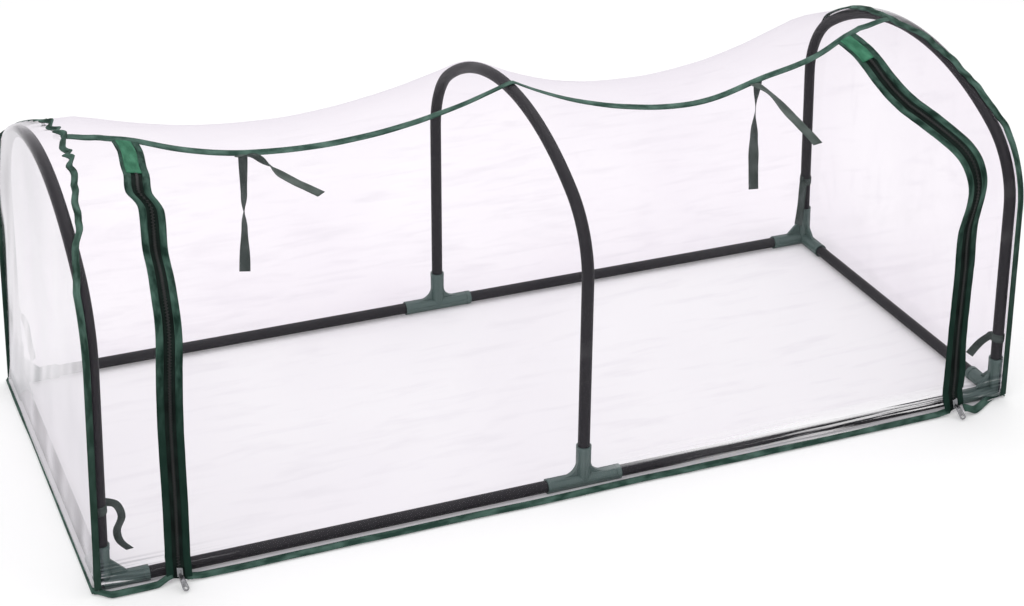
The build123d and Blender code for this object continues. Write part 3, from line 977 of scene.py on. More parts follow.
@dataclass(frozen=True)
class Band:
    """A soft folded tape with rounded edges, drawn along a spine."""

    width: float
    thickness: float
    ring_steps: int = 12
    squareness: float = 0.55

    def rim(self, share: float) -> tuple[float, float]:
        """Gives a point of the tape's section.

        Args:
            share: Share of the way round the section.

        Returns:
            Distance across the tape and out from its middle.
        """
        angle = math.tau * share
        across = math.copysign(abs(math.cos(angle)) ** self.squareness, math.cos(angle))
        out = math.copysign(abs(math.sin(angle)) ** self.squareness, math.sin(angle))
        return across * self.width / 2, out * self.thickness / 2

    def draw(self, mesh: bmesh.types.BMesh, spine: Spine, steps: int, length: float) -> None:
        """Draws the tape along its spine and closes its ends.

        Args:
            mesh: The bmesh to add to.
            spine: Gives the middle and the direction across for a share of the length.
            steps: Steps along the tape.
            length: Real length, for the weave.
        """
        nudge = 0.5 / steps

        def place(share: float, turn: float) -> Vector:
            """Puts a point of the tape's skin.

            Args:
                share: Share of the length.
                turn: Share of the way round the section.

            Returns:
                The point.
            """
            middle, across = spine(share)
            ahead = spine(min(1.0, share + nudge))[0] - spine(max(0.0, share - nudge))[0]
            outward = ahead.cross(across).normalized()
            sideways, proud = self.rim(turn)
            return middle + across.normalized() * sideways + outward * proud

        verts = mapped_grid(mesh, steps, self.ring_steps, place, (length, 2 * self.width))
        bmesh.ops.remove_doubles(mesh, verts=verts, dist=self.thickness / 50)
        ends = [edge for edge in mesh.edges if edge.is_boundary]
        filled = bmesh.ops.holes_fill(mesh, edges=ends, sides=0)["faces"]
        bmesh.ops.triangulate(mesh, faces=filled)
        bmesh.ops.recalc_face_normals(mesh, faces=mesh.faces[:])

    def sew(self, name: str, spines: Sequence[Spine], steps: int, length: float, finish: Finish, slot: Slot,
            replaces: Sequence[str] = ()) -> bpy.types.Object:
        """Builds a piece of one or more tapes.

        Args:
            name: Name of the piece.
            spines: The line of each tape.
            steps: Steps along a tape.
            length: Real length of a tape.
            finish: The finish that it takes.
            slot: Slot for that finish, handed to settle.
            replaces: CAD nodes that the piece stands for.

        Returns:
            The piece.
        """
        mesh = bmesh.new()
        for spine in spines:
            self.draw(mesh, spine, steps, length)
        return settle(name, mesh, finish, slot, replaces)


@dataclass(frozen=True)
class Cut:
    """One sheet as it was cut before it was hung."""

    piece: bpy.types.Object
    flat: tuple[float, float]
    held: str
    rests_on: tuple[str, ...]
    trims: tuple[str, ...]

    def declare(self) -> None:
        trims = [bpy.data.objects[name] for name in self.trims]
        list(self.rests_on)


@dataclass
class FilmCover:
    """The clear panels, cut to the ridge seam, the zips and the end seams."""

    drape: Drape
    panel_step: float = 0.011
    row_step: float = 0.014
    zip_half: float = 0.013
    crease_depth: float = 0.0025
    long_crease: Span = (7.0, 2.2)
    long_layer: float = 3.0
    short_crease: Span = (16.0, 5.0)
    short_layer: float = 8.0
    short_slant: float = 6.0 / 16.0
    short_share: float = 0.6
    rim_clear: float = 0.0042
    gather_length: float = 0.030
    gather_depth: float = 0.0035
    gather_drift: float = 0.4
    gather_noise: Span = (11.0, 4.0)
    gather_reach: float = 0.36
    gather_fade: float = 0.10
    fewest_columns: int = 8
    rim_reach: float = 0.16
    hem_reach: float = 0.045
    foot_fade: float = 0.10
    rim_fade: float = 0.12
    rounding: float = 0.55
    turn_in: float = 0.04
    turn_width: float = 0.05
    weld: float = 0.0002
    hang_grid: tuple[int, int] = (84, 64)
    turn_grid: tuple[int, int] = (150, 8)

    def __post_init__(self) -> None:
        """Starts the list of cut sheets."""
        self.cuts: list[Cut] = []

    def panel(self, name: str, side: Side, low: Callable[[float], float], high: Callable[[float], float],
              replaces: str, trims: tuple[str, ...]) -> None:
        """Builds one draped panel from the ridge seam to the ground.

        Args:
            name: Name of the piece.
            side: The side that it hangs on.
            low: Gives its left edge along the rails at an arc length.
            high: Gives its right edge at an arc length.
            replaces: CAD node that it stands for.
            trims: Tapes that are sewn to it.
        """
        drape = self.drape
        middle = (low(0.0) + high(0.0)) / 2
        reach = drape.section(middle).length
        span = high(side.value * reach) - low(side.value * reach)

        def place(along: float, down: float) -> Vector:
            """Puts a point of the panel.

            Args:
                along: Share of the way from its left edge.
                down: Share of the way from the ridge.

            Returns:
                The point.
            """
            nominal = side.value * reach * down
            x = blend(low(nominal), high(nominal), along)
            arc = blend(drape.ridge(x), side.value * drape.section(x).length, down)
            return drape.place(x, arc)

        mesh = bmesh.new()
        columns = max(self.fewest_columns, round(span / self.panel_step))
        mapped_grid(mesh, columns, round(reach / self.row_step), place, (span, reach))
        bmesh.ops.recalc_face_normals(mesh, faces=mesh.faces[:])
        piece = settle(name, mesh, ROOF_FILM, Slot.FILM, [replaces])
        hoops = ("middle_hoop", "left_hoop", "right_hoop")
        self.cuts.append(Cut(piece, (span, reach), "draped", hoops, trims))

    def end_panel(self, end: End) -> None:
        """Builds an end panel that hangs in its hoop and turns over it to the seam.

        Args:
            end: The end that it closes.
        """
        drape = self.drape
        arch = drape.section(drape.bay_length)
        stand = drape.crown_stand
        outer = end.value * drape.bay_length
        foot = drape.foot_height - drape.rail_height
        spread = drape.end_hem_offset - drape.bay_length - stand - self.rim_clear

        def hang(around: float, rise: float) -> Vector:
            """Puts a point of the flat part.

            Args:
                around: Share of the way round the arch.
                rise: Share of the way up from the ground.

            Returns:
                The point.
            """
            arc = blend(-arch.bent_length, arch.bent_length, around)
            out, top, tilt = arch.at(abs(arc))
            across = math.copysign(out - stand * math.sin(tilt), arc)
            up = blend(foot, top - stand * math.cos(tilt), rise)
            flare = (self.rim_clear * smooth(1 - up / self.rim_reach)
                     + spread * smooth(1 - (up - foot) / self.hem_reach))
            slant = across + up * self.short_slant
            fold = ripple(across, up, self.long_crease, self.long_layer + end.value)
            fold += self.short_share * ripple(slant, up, self.short_crease, self.short_layer)
            inside = smooth((1 - rise) / self.rim_fade) * smooth(rise / self.foot_fade)
            proud = stand + flare + self.crease_depth * inside * fold
            return drape.stand(outer + end.value * proud, across, up)

        def turn_over(around: float, over: float) -> Vector:
            """Puts a point of the part that wraps the hoop.

            Args:
                around: Share of the way round the arch.
                over: Share of the way over the hoop.

            Returns:
                The point.
            """
            arc = blend(-arch.length, arch.length, around)
            if over < self.rounding:
                angle = math.pi / 2 * (1 - over / self.rounding)
                lift = stand * (math.cos(angle) - 1)
                return drape.place(outer + end.value * stand * math.sin(angle), arc, lift)
            share = (over - self.rounding) / (1 - self.rounding)
            stop = end.value * min(drape.seam(end, arc) * end.value, drape.bay_length)
            drift = self.gather_drift * ripple(arc, 1.0, self.gather_noise, end.value)
            phase = arc / self.gather_length + drift
            gather = self.gather_depth * share * (0.5 + 0.5 * math.sin(math.tau * phase))
            gather *= smooth((self.gather_reach - abs(arc)) / self.gather_fade)
            return drape.place(blend(outer, stop, share), arc, gather)

        mesh = bmesh.new()
        mapped_grid(mesh, *self.hang_grid, hang, (2 * drape.half_span, arch.spring + arch.shoulder))
        mapped_grid(mesh, *self.turn_grid, turn_over, (2 * arch.length, self.turn_width))
        bmesh.ops.remove_doubles(mesh, verts=mesh.verts[:], dist=self.weld)
        bmesh.ops.recalc_face_normals(mesh, faces=mesh.faces[:])
        piece = settle(f"{end.word}_end_film", mesh, END_FILM, Slot.FILM, [f"{end.word}_end_sheet"])
        flat = (2 * drape.half_span + self.turn_in,
                drape.leg_height + drape.arch_rise + drape.rail_height + self.turn_in)
        self.cuts.append(Cut(piece, flat, "hung", (f"{end.word}_hoop",),
                             (f"{end.word}_end_tape", f"{end.word}_hem_tape")))

    def build(self) -> None:
        """Builds all the panels."""
        drape = self.drape

        def seam(end: End) -> Callable[[float], float]:
            """Gives an end seam as an edge."""
            return lambda arc: drape.seam(end, arc)

        def zip_edge(end: End, toward: int) -> Callable[[float], float]:
            """Gives one edge of a zip as an edge."""
            return lambda arc: drape.zip_line(end, arc) + toward * self.zip_half

        zips = tuple(f"{end.word}_zip_{part}" for end in End for part in Zip.parts())
        self.panel("back_film", Side.BACK, seam(End.LEFT), seam(End.RIGHT), "back_sheet",
                   ("ridge_tape", "back_hem_tape"))
        self.panel("door_film", Side.FRONT, zip_edge(End.LEFT, 1), zip_edge(End.RIGHT, -1), "door_sheet",
                   ("door_hem_tape", *zips))
        self.panel("front_left_film", Side.FRONT, seam(End.LEFT), zip_edge(End.LEFT, -1), "front_left_sheet",
                   ("front_left_hem_tape",))
        self.panel("front_right_film", Side.FRONT, zip_edge(End.RIGHT, 1), seam(End.RIGHT),
                   "front_right_sheet", ("front_right_hem_tape",))
        for end in End:
            self.end_panel(end)

    def declare(self) -> None:
        """Looks up the tapes sewn to every cut sheet, once its hems and zips are built."""
        for cut in self.cuts:
            cut.declare()


@dataclass
class Bindings:
    """Green tape sewn along the ridge, round both ends and along the ground."""

    drape: Drape
    ridge_band: Band = Band(0.0125, 0.0030)
    end_band: Band = Band(0.0122, 0.0034)
    hem_band: Band = Band(0.0125, 0.0040)
    broad_hem_band: Band = Band(0.0165, 0.0040)
    end_hem_band: Band = Band(0.0056, 0.0032)
    ridge_steps: int = 220
    end_steps: int = 420
    hem_step: float = 0.009
    fewest_steps: int = 20
    lift: float = 0.0016
    ridge_tilt: float = math.radians(30)
    ridge_ease: float = 0.30
    hem_tilt: float = math.radians(40)
    hem_wave: float = 0.0022
    hem_noise: float = 5.0
    hem_swell: float = 0.0008
    ruffle_length: float = 0.046
    ruffle_depth: float = 0.0058
    ruffle_drift: float = 0.7
    ruffle_noise: Span = (13.0, 2.0)
    ruffle_edge: float = 0.93
    ruffle_lift: Span = (0.6, 0.5)
    left_ruffle: Course = Course((
        (-0.40, 0.00), (-0.32, 0.22), (-0.13, 0.22), (-0.07, 1.00), (0.10, 1.00), (0.20, 0.00)))
    right_ruffle: Course = Course(((-0.44, 0.00), (-0.34, 0.22), (0.14, 0.22), (0.24, 0.00)))
    foot_clear: float = 0.007
    left_twist: Span = (0.55, 0.45)
    right_twist: float = 2.7
    zip_reach: float = 0.012
    zip_rise: float = 0.011
    door_rise: float = 0.0033
    rise_length: float = 0.030
    rise_lean: float = 0.25

    def ridge(self) -> None:
        """Builds the ridge binding from seam to seam."""
        drape = self.drape
        low = drape.seam(End.LEFT, 0.0)
        high = drape.seam(End.RIGHT, 0.0)

        def spine(share: float) -> Station:
            """Follows the ridge seam.

            Args:
                share: Share of the length.

            Returns:
                The middle and the direction across.
            """
            x = blend(low, high, share)
            arc = drape.ridge(x)
            step = self.ridge_band.width / 2
            across = (drape.place(x, arc + step) - drape.place(x, arc - step)).normalized()
            out = (drape.place(x, arc, step) - drape.place(x, arc)).normalized()
            tilt = self.ridge_tilt * drape.slack(x) * smooth(abs(x) / self.ridge_ease)
            across = across * math.cos(tilt) + out * math.sin(tilt)
            return drape.place(x, arc, self.lift + step * math.sin(tilt)), across

        self.ridge_band.sew("ridge_tape", [spine], self.ridge_steps, high - low, RIDGE_BINDING, Slot.BINDING,
                            ["ridge_binding"])

    def ruffle(self, end: End, arc: float) -> float:
        """Gives how strongly the end binding is gathered at an arc length."""
        return (self.left_ruffle if end is End.LEFT else self.right_ruffle).at(arc)

    def round_end(self, end: End) -> None:
        """Builds one end binding, gathered where the cover is pulled over the hoop.

        Args:
            end: The end that it goes round.
        """
        drape = self.drape
        reach = drape.section(drape.bay_length).length

        def spine(share: float) -> Station:
            """Follows the end seam.

            Args:
                share: Share of the length.

            Returns:
                The middle and the direction across.
            """
            arc = blend(self.foot_clear - reach, reach - self.foot_clear, share)
            ruffle = self.ruffle(end, arc)
            depth = ruffle * self.ruffle_depth
            drift = self.ruffle_drift * ripple(arc, 1.0, self.ruffle_noise, end.value)
            phase = arc / self.ruffle_length + drift
            wave = math.asin(self.ruffle_edge * math.sin(math.tau * phase)) / (math.pi / 2)
            x = drape.seam(end, arc) + depth * wave
            lift = self.lift + depth * (self.ruffle_lift[0] + self.ruffle_lift[1] * math.sin(math.pi * phase))
            step = self.end_band.width / 2
            across = drape.place(x + step, arc) - drape.place(x - step, arc)
            out = drape.place(x, arc, step) - drape.place(x, arc)
            left_twist = self.left_twist[0] + self.left_twist[1] * wave
            twist = ruffle * (left_twist if end is End.LEFT else self.right_twist)
            across = across.normalized() * math.cos(twist) + out.normalized() * math.sin(twist)
            return drape.place(x, arc, lift + 0.5 * step * math.sin(twist)), across

        self.end_band.sew(f"{end.word}_end_tape", [spine], self.end_steps, 2 * reach, END_BINDING,
                          Slot.BINDING, [f"{end.word}_end_binding"])

    def hem(self, replaces: str, band: Band, ends: tuple[Vector, Vector], outward: Vector,
            rises: Span = (0.0, 0.0), tucks: Span = (0.0, 0.0), tuck_length: float = 0.030) -> None:
        """Builds one length of hem on the ground.

        Args:
            replaces: CAD node that it stands for and is named after.
            band: Its section.
            ends: Where it begins and ends.
            outward: Level direction away from the tunnel.
            rises: Height that each end turns up by, into a zip.
            tucks: Distance that each end is drawn in by.
            tuck_length: Length over which an end is drawn in.
        """
        start, end = ends
        length = (end - start).length
        across = outward * math.cos(self.hem_tilt) - UP * math.sin(self.hem_tilt)
        rest = band.width / 2 * math.sin(self.hem_tilt) + band.thickness / 3

        def near(share: float, pair: Span, fade: float) -> float:
            """Adds up what the two ends give at a share of the length."""
            return (pair[0] * smooth(1 - share * length / fade)
                    + pair[1] * smooth(1 - (1 - share) * length / fade))

        def spine(share: float) -> Station:
            """Follows the hem.

            Args:
                share: Share of the length.

            Returns:
                The middle and the direction across.
            """
            middle = start.lerp(end, share)
            spot = Vector((middle.x, middle.y, 0.0)) * self.hem_noise
            rise = near(share, rises, self.rise_length)
            drawn_in = near(share, tucks, tuck_length) + self.rise_lean * rise
            shift = self.hem_wave * noise.noise(spot) - drawn_in
            height = rest + self.hem_swell * (1 + noise.noise(spot * 2.0)) + rise
            return middle + outward * shift + UP * height, across

        steps = max(self.fewest_steps, round(length / self.hem_step))
        band.sew(f"{replaces}_tape", [spine], steps, length, HEM_BINDING, Slot.BINDING, [replaces])

    def build(self) -> None:
        """Builds the ridge binding, both end bindings and the hems."""
        drape = self.drape
        self.ridge()
        for end in End:
            self.round_end(end)
        side, far = drape.hem_offset, drape.end_hem_offset
        left_foot, right_foot = (drape.zip_line(end, 1.0) for end in End)
        front = Vector((0.0, -1.0, 0.0))

        def ground(x: float, y: float) -> Vector:
            """Gives a point on the ground."""
            return Vector((x, y, 0.0))

        self.hem("back_hem", self.hem_band, (ground(far, side), ground(-far, side)), -front,
                 tucks=(0.012, 0.012))
        self.hem("door_hem", self.hem_band,
                 (ground(left_foot + self.zip_reach, -side), ground(right_foot - self.zip_reach, -side)),
                 front, rises=(self.door_rise, self.door_rise))
        self.hem("front_left_hem", self.hem_band,
                 (ground(-far, -side), ground(left_foot - self.zip_reach, -side)), front,
                 rises=(0.0, self.zip_rise), tucks=(0.022, 0.0))
        self.hem("front_right_hem", self.broad_hem_band,
                 (ground(right_foot + self.zip_reach, -side - 0.002), ground(far, -side)), front,
                 rises=(self.zip_rise, 0.0), tucks=(-0.014, 0.030), tuck_length=0.105)
        for end in End:
            low = ground(end.value * far, -side + 0.020)
            high = ground(end.value * far, side - 0.010)
            ends = (high, low) if end is End.LEFT else (low, high)
            self.hem(f"{end.word}_hem", self.end_hem_band, ends, Vector((end.value, 0.0, 0.0)))


@dataclass
class Zip:
    """A long zip beside the door: a black tape bound in green, its coil, a top tab and a slider."""

    drape: Drape
    end: End
    edging: Band = Band(0.0135, 0.0028)
    webbing: Band = Band(0.0240, 0.0012)
    tab: Band = Band(0.0270, 0.0016)
    edging_offset: float = 0.0163
    tab_offset: float = -0.0035
    tape_steps: int = 150
    tab_steps: int = 24
    probe: float = 0.004
    lift: float = 0.0020
    proud: float = 0.0016
    sunk: float = 0.0006
    tab_length: float = 0.132
    foot_clear: float = 0.004
    tooth_pitch: float = 0.0027
    tooth_size: tuple[float, float, float] = (0.0046, 0.0016, 0.0018)
    tooth_stagger: float = 0.0009
    slider_size: tuple[float, float, float] = (0.011, 0.017, 0.006)
    slider_seat: Span = (0.022, 0.002)
    slider_lift: float = 0.004
    slider_bevel: float = 0.0013
    bail_wire: float = 0.0011
    bail_radius: float = 0.004
    hinge_reach: float = 0.003
    pull_length: float = 0.032
    pull_width: float = 0.0115
    pull_thickness: float = 0.0018
    pull_clear: float = 0.004
    pull_neck: float = 0.75
    pull_least_run: float = 0.35
    pull_way: Span = (0.12, -0.99)
    eye: float = 0.0060

    @staticmethod
    def parts() -> tuple[str, ...]:
        """Names the pieces of a zip."""
        return "edging", "tab", "webbing", "teeth", "runner"

    def spine(self, offset: float, lift: float, low: float, high: float) -> Spine:
        """Follows the zip down the cover.

        Args:
            offset: Distance beside the zip's middle.
            lift: Distance out from the film.
            low: Arc length where it begins.
            high: Arc length where it ends.

        Returns:
            The spine.
        """
        drape = self.drape

        def follow(share: float) -> Station:
            """Gives the middle and the direction across.

            Args:
                share: Share of the length.

            Returns:
                The two vectors.
            """
            arc = -blend(low, high, share)
            x = drape.zip_line(self.end, arc)
            across = (drape.place(x + self.probe, arc) - drape.place(x - self.probe, arc)).normalized()
            return drape.place(x, arc, lift) + across * offset, across

        return follow

    def build(self) -> None:
        """Builds the tapes, the coil, the tab and the slider."""
        drape = self.drape
        word = self.end.word
        line = drape.zip_line(self.end, 0.0)
        top = -drape.ridge(line)
        foot = drape.section(line).length - self.foot_clear
        coil_top = top + self.tab_length
        edges = [self.spine(toward * self.edging_offset, self.lift, top, foot) for toward in (-1, 1)]
        self.edging.sew(f"{word}_zip_edging", edges, self.tape_steps, foot - top, GREEN_ZIP_TAPE,
                        Slot.ZIP_TAPE, [f"{word}_zip_tape"])
        tab = self.spine(self.tab_offset, self.lift + self.proud, top, coil_top)
        self.tab.sew(f"{word}_zip_tab", [tab], self.tab_steps, self.tab_length, BRIGHT_TAB, Slot.ZIP_TAPE)
        web = self.spine(0.0, self.lift - self.sunk, top, foot)
        self.webbing.sew(f"{word}_zip_webbing", [web], self.tape_steps, foot - top, BLACK_ZIP_TAPE,
                         Slot.ZIP_TAPE)
        self.coil(self.spine(0.0, self.lift + self.proud, coil_top, foot), foot - coil_top)
        self.slider(foot)

    def coil(self, line: Spine, length: float) -> None:
        """Builds the coil from staggered teeth.

        Args:
            line: The line that the coil follows.
            length: Its length.
        """
        mesh = bmesh.new()
        count = round(length / self.tooth_pitch)
        for number in range(count):
            middle, across = line((number + 0.5) / count)
            ahead = line((number + 0.6) / count)[0] - middle
            across.normalize()
            ahead.normalize()
            middle += across * self.tooth_stagger * (1 if number % 2 else -1)
            tooth = turned(across, ahead) @ Matrix.Diagonal((*self.tooth_size, 1.0))
            bmesh.ops.create_cube(mesh, size=1.0, matrix=Matrix.Translation(middle) @ tooth)
        settle(f"{self.end.word}_zip_teeth", mesh, BLACK_COIL, Slot.ZIP_COIL, [f"{self.end.word}_zip_coil"])

    def slider(self, foot: float) -> None:
        """Builds the slider with its pull hanging out over the hem.

        Args:
            foot: Arc length where the zip ends.
        """
        start, stop = (foot - inset for inset in self.slider_seat)
        seat = self.spine(0.0, self.lift + self.slider_lift, start, stop)
        middle, across = seat(0.5)
        ahead = (seat(0.6)[0] - middle).normalized()
        across.normalize()
        outward = ahead.cross(across).normalized()
        if outward.y > 0:
            outward = -outward
        turn = turned(across, ahead)
        mesh = bmesh.new()
        body = Matrix.Translation(middle) @ turn @ Matrix.Diagonal((*self.slider_size, 1.0))
        bmesh.ops.create_cube(mesh, size=1.0, matrix=body)
        bmesh.ops.bevel(mesh, geom=mesh.edges[:], offset=self.slider_bevel, affect="EDGES", segments=2,
                        profile=0.5, material=-1)
        bail = middle + outward * (self.slider_size[2] / 2)
        wire = (Matrix.Translation(bail) @ turn @ Matrix.Translation((0.0, self.bail_radius, 0.0))
                @ Matrix.Rotation(math.pi / 2, 4, "Y"))
        ring = bmesh.ops.create_circle(mesh, segments=8, radius=self.bail_wire, matrix=wire)["verts"]
        edges = list({edge for vert in ring for edge in vert.link_edges})
        bmesh.ops.spin(mesh, geom=ring + edges, cent=bail, axis=across, dvec=(0, 0, 0), angle=math.tau,
                       steps=12, use_merge=True, use_duplicate=False)
        self.pull(mesh, bail + outward * self.hinge_reach + ahead * self.hinge_reach, across)
        bmesh.ops.recalc_face_normals(mesh, faces=mesh.faces[:])
        settle(f"{self.end.word}_zip_runner", mesh, ZIP_METAL, Slot.ZIP_SLIDER,
               [f"{self.end.word}_zip_slider"])

    def pull(self, mesh: bmesh.types.BMesh, hinge: Vector, across: Vector) -> None:
        """Adds the flat pull with its round eye.

        Args:
            mesh: The slider's bmesh.
            hinge: Where the pull hangs from.
            across: Direction across the zip.
        """
        drop = max(0.0, hinge.z - self.pull_clear)
        run = math.sqrt(max(self.pull_length**2 - drop**2, (self.pull_length * self.pull_least_run) ** 2))
        lean = Vector((self.pull_way[0] * run, self.pull_way[1] * run, -drop)).normalized()
        side = (across - lean * across.dot(lean)).normalized()
        before = set(mesh.faces)
        round_radius = self.pull_width / 2
        rim = bmesh.ops.create_circle(mesh, segments=24, radius=round_radius)["verts"]
        eye = bmesh.ops.create_circle(mesh, segments=24, radius=self.eye / 2)["verts"]
        for vert in rim:
            if vert.co.y < 0:
                vert.co.y -= self.pull_length - self.pull_width
                vert.co.x *= self.pull_neck
        edges = list({edge for vert in rim + eye for edge in vert.link_edges})
        bmesh.ops.bridge_loops(mesh, edges=edges)
        flat = [face for face in mesh.faces if face not in before]
        raised = bmesh.ops.extrude_face_region(mesh, geom=flat)["geom"]
        lifted = [item for item in raised if isinstance(item, bmesh.types.BMVert)]
        bmesh.ops.translate(mesh, verts=lifted, vec=(0.0, 0.0, self.pull_thickness))
        verts = list({vert for face in mesh.faces if face not in before for vert in face.verts})
        far = self.pull_length - round_radius
        hang = Matrix.Translation((0.0, far, -self.pull_thickness / 2))
        place = Matrix.Translation(hinge) @ turned(side, lean) @ hang
        bmesh.ops.transform(mesh, matrix=place, verts=verts)


@dataclass
class Ties:
    """Woven tapes: a pair at each of two places on the ridge, and one knotted round each corner leg."""

    drape: Drape
    door_band: Band = Band(0.0205, 0.0012)
    corner_band: Band = Band(0.0170, 0.0012)
    door_place: float = 0.552
    tie_lap: float = 0.010
    tie_step: float = 0.004
    fewest_steps: int = 24
    ridge_drop: float = 0.004
    roof_gap: float = 0.0028
    curl_stop: float = 0.55
    foot_lift: float = 0.004
    foot_share: float = 0.3
    inner_length: float = 0.230
    inner_sway: float = 0.004
    knot_share: float = 0.40
    knot_slope: float = 0.006
    tail_look: float = 0.03
    tail_turn: float = 0.55
    knot_height: float = 0.146
    low_knot_height: float = 0.122

    def tape(self, name: str, band: Band, spine: Spine, length: float,
             replaces: Sequence[str]) -> None:
        """Builds one tape.

        Args:
            name: Name of the piece.
            band: Its section.
            spine: Its line.
            length: Its real length.
            replaces: CAD nodes that it stands for.
        """
        steps = max(self.fewest_steps, round(length / self.tie_step))
        piece = band.sew(name, [spine], steps, length, GREY_TIE, Slot.TIE_TAPE, replaces)

    def outer(self, end: End, run: float, drop: float, curl: float) -> None:
        """Builds the tape that lies on the roof film.

        Args:
            end: The end that it is nearer.
            run: Distance that it goes to the right.
            drop: Distance that it goes down the roof.
            curl: How far it turns over near the ridge.
        """
        drape = self.drape
        start = end.value * self.door_place - self.tie_lap
        length = math.hypot(run, drop)
        down = Vector((run, -drop)) * (self.tie_step / length)

        def spine(share: float) -> Station:
            """Follows the roof, twisted once near the ridge.

            Args:
                share: Share of the length.

            Returns:
                The middle and the direction across.
            """
            x = start + run * share
            arc = drape.ridge(start) - self.ridge_drop - drop * share
            ahead = drape.place(x + down.x, arc + down.y) - drape.place(x, arc)
            out = (drape.place(x, arc, self.tie_step) - drape.place(x, arc)).normalized()
            flat = ahead.cross(out).normalized()
            turn = curl * math.sin(math.pi * min(1.0, share / self.curl_stop)) ** 2
            lift = self.roof_gap + self.door_band.width / 2 * abs(math.sin(turn))
            lift += self.foot_lift * smooth(1 - (1 - share) / self.foot_share)
            return drape.place(x, arc, lift), flat * math.cos(turn) + out * math.sin(turn)

        self.tape(f"{end.word}_outer_tie_tape", self.door_band, spine, length,
                  [f"{end.word}_outer_door_tie"])

    def inner(self, end: End, twist: Course, drift: float) -> None:
        """Builds the tape that hangs inside from the ridge.

        Args:
            end: The end that it is nearer.
            twist: Its turn about its own length, in degrees by share.
            drift: Distance that its foot swings along the rails.
        """
        drape = self.drape
        x = end.value * self.door_place
        top = drape.place(x, drape.ridge(x) - 0.002, 0.001)

        def spine(share: float) -> Station:
            """Hangs straight down, slowly turning.

            Args:
                share: Share of the length.

            Returns:
                The middle and the direction across.
            """
            turn = math.radians(twist.at(share))
            sway = drift * share**2
            wave = self.inner_sway * math.sin(3.0 * share)
            middle = top + Vector((sway, wave, -self.inner_length * share))
            return middle, Vector((math.cos(turn), math.sin(turn), 0.0))

        self.tape(f"{end.word}_inner_tie_tape", self.door_band, spine, self.inner_length,
                  [f"{end.word}_inner_door_tie"])

    def corner(self, end: End, side: Side, knot: float, turn: float,
               stops: Sequence[tuple[float, float, float]]) -> None:
        """Builds the tape knotted round a corner leg.

        Args:
            end: The end of the leg.
            side: The side of the leg.
            knot: Height of the knot above the rails.
            turn: How far the tail turns from upright to level.
            stops: The tail's line from the leg: inwards along the rails, inwards across, and up.
        """
        drape = self.drape
        leg = drape.stand(end.value * drape.bay_length, side.value * drape.half_spacing, knot)
        radius = drape.tube_radius + self.corner_band.thickness
        inward = Vector((-end.value, -side.value, 0.0))
        points = [leg + Vector((inward.x * along, inward.y * across, rise)) for along, across, rise in stops]
        ring_start = math.atan2(inward.y, inward.x)

        def ring(share: float) -> Vector:
            """Goes once round the leg.

            Args:
                share: Share of the way round.

            Returns:
                The point.
            """
            angle = ring_start - math.tau * (1 - share) * end.value * side.value
            slope = self.knot_slope * (share - 0.5)
            return leg + Vector((math.cos(angle) * radius, math.sin(angle) * radius, slope))

        def tail(share: float) -> Vector:
            """Follows the tail's stops in a smooth line.

            Args:
                share: Share of the tail's length.

            Returns:
                The point.
            """
            line = [ring(1.0), *points]
            spot = share * (len(line) - 1)
            number = min(int(spot), len(line) - 2)
            part = spot - number
            before = line[max(0, number - 1)]
            after = line[min(len(line) - 1, number + 2)]
            a, b = line[number], line[number + 1]
            lead_out = (b - before) / 2
            lead_in = (after - a) / 2
            return (a * (2 * part**3 - 3 * part**2 + 1) + lead_out * (part**3 - 2 * part**2 + part)
                    + b * (3 * part**2 - 2 * part**3) + lead_in * (part**3 - part**2))

        def spine(share: float) -> Station:
            """Goes round the leg and then down the tail.

            Args:
                share: Share of the length.

            Returns:
                The middle and the direction across.
            """
            if share < self.knot_share:
                return ring(share / self.knot_share), UP.copy()
            along = (share - self.knot_share) / (1 - self.knot_share)
            ahead = tail(min(1.0, along + self.tail_look)) - tail(max(0.0, along - self.tail_look))
            level = Vector((inward.y, -inward.x, 0.0))
            across = UP.lerp(level, turn * smooth(along / self.tail_turn))
            return tail(along), across - ahead * (across.dot(ahead) / ahead.length_squared)

        length = math.tau * radius + sum((b - a).length for a, b in zip(points, points[1:]))
        self.tape(f"{side.word}_{end.word}_tie_tape", self.corner_band, spine, length,
                  [f"{side.word}_{end.word}_tie"])

    def build(self) -> None:
        """Builds all the ties."""
        self.outer(End.LEFT, 0.112, 0.158, 1.3)
        self.outer(End.RIGHT, 0.022, 0.218, 0.4)
        self.inner(End.LEFT, Course(((0.0, 20.0), (0.35, 40.0), (0.62, 108.0), (1.0, 160.0))), -0.008)
        self.inner(End.RIGHT, Course(((0.0, 10.0), (0.25, 60.0), (0.5, 110.0), (0.8, 170.0))), 0.006)
        hook = ((0.012, 0.012, 0.004), (0.032, 0.020, -0.010), (0.040, 0.022, -0.036), (0.030, 0.020, -0.062),
                (0.034, 0.022, -0.086), (0.050, 0.026, -0.108))
        flag = ((0.014, 0.012, -0.002), (0.028, 0.014, -0.011), (0.040, 0.016, -0.024),
                (0.050, 0.018, -0.038))
        hang = ((0.012, 0.012, 0.000), (0.018, 0.020, -0.020), (0.020, 0.022, -0.055),
                (0.024, 0.022, -0.100))
        self.corner(End.LEFT, Side.FRONT, self.knot_height, 0.5, hook)
        self.corner(End.RIGHT, Side.FRONT, self.low_knot_height, 0.1, flag)
        self.corner(End.LEFT, Side.BACK, self.knot_height, 1.0, hang)
        self.corner(End.RIGHT, Side.BACK, self.knot_height, 1.0, hang)


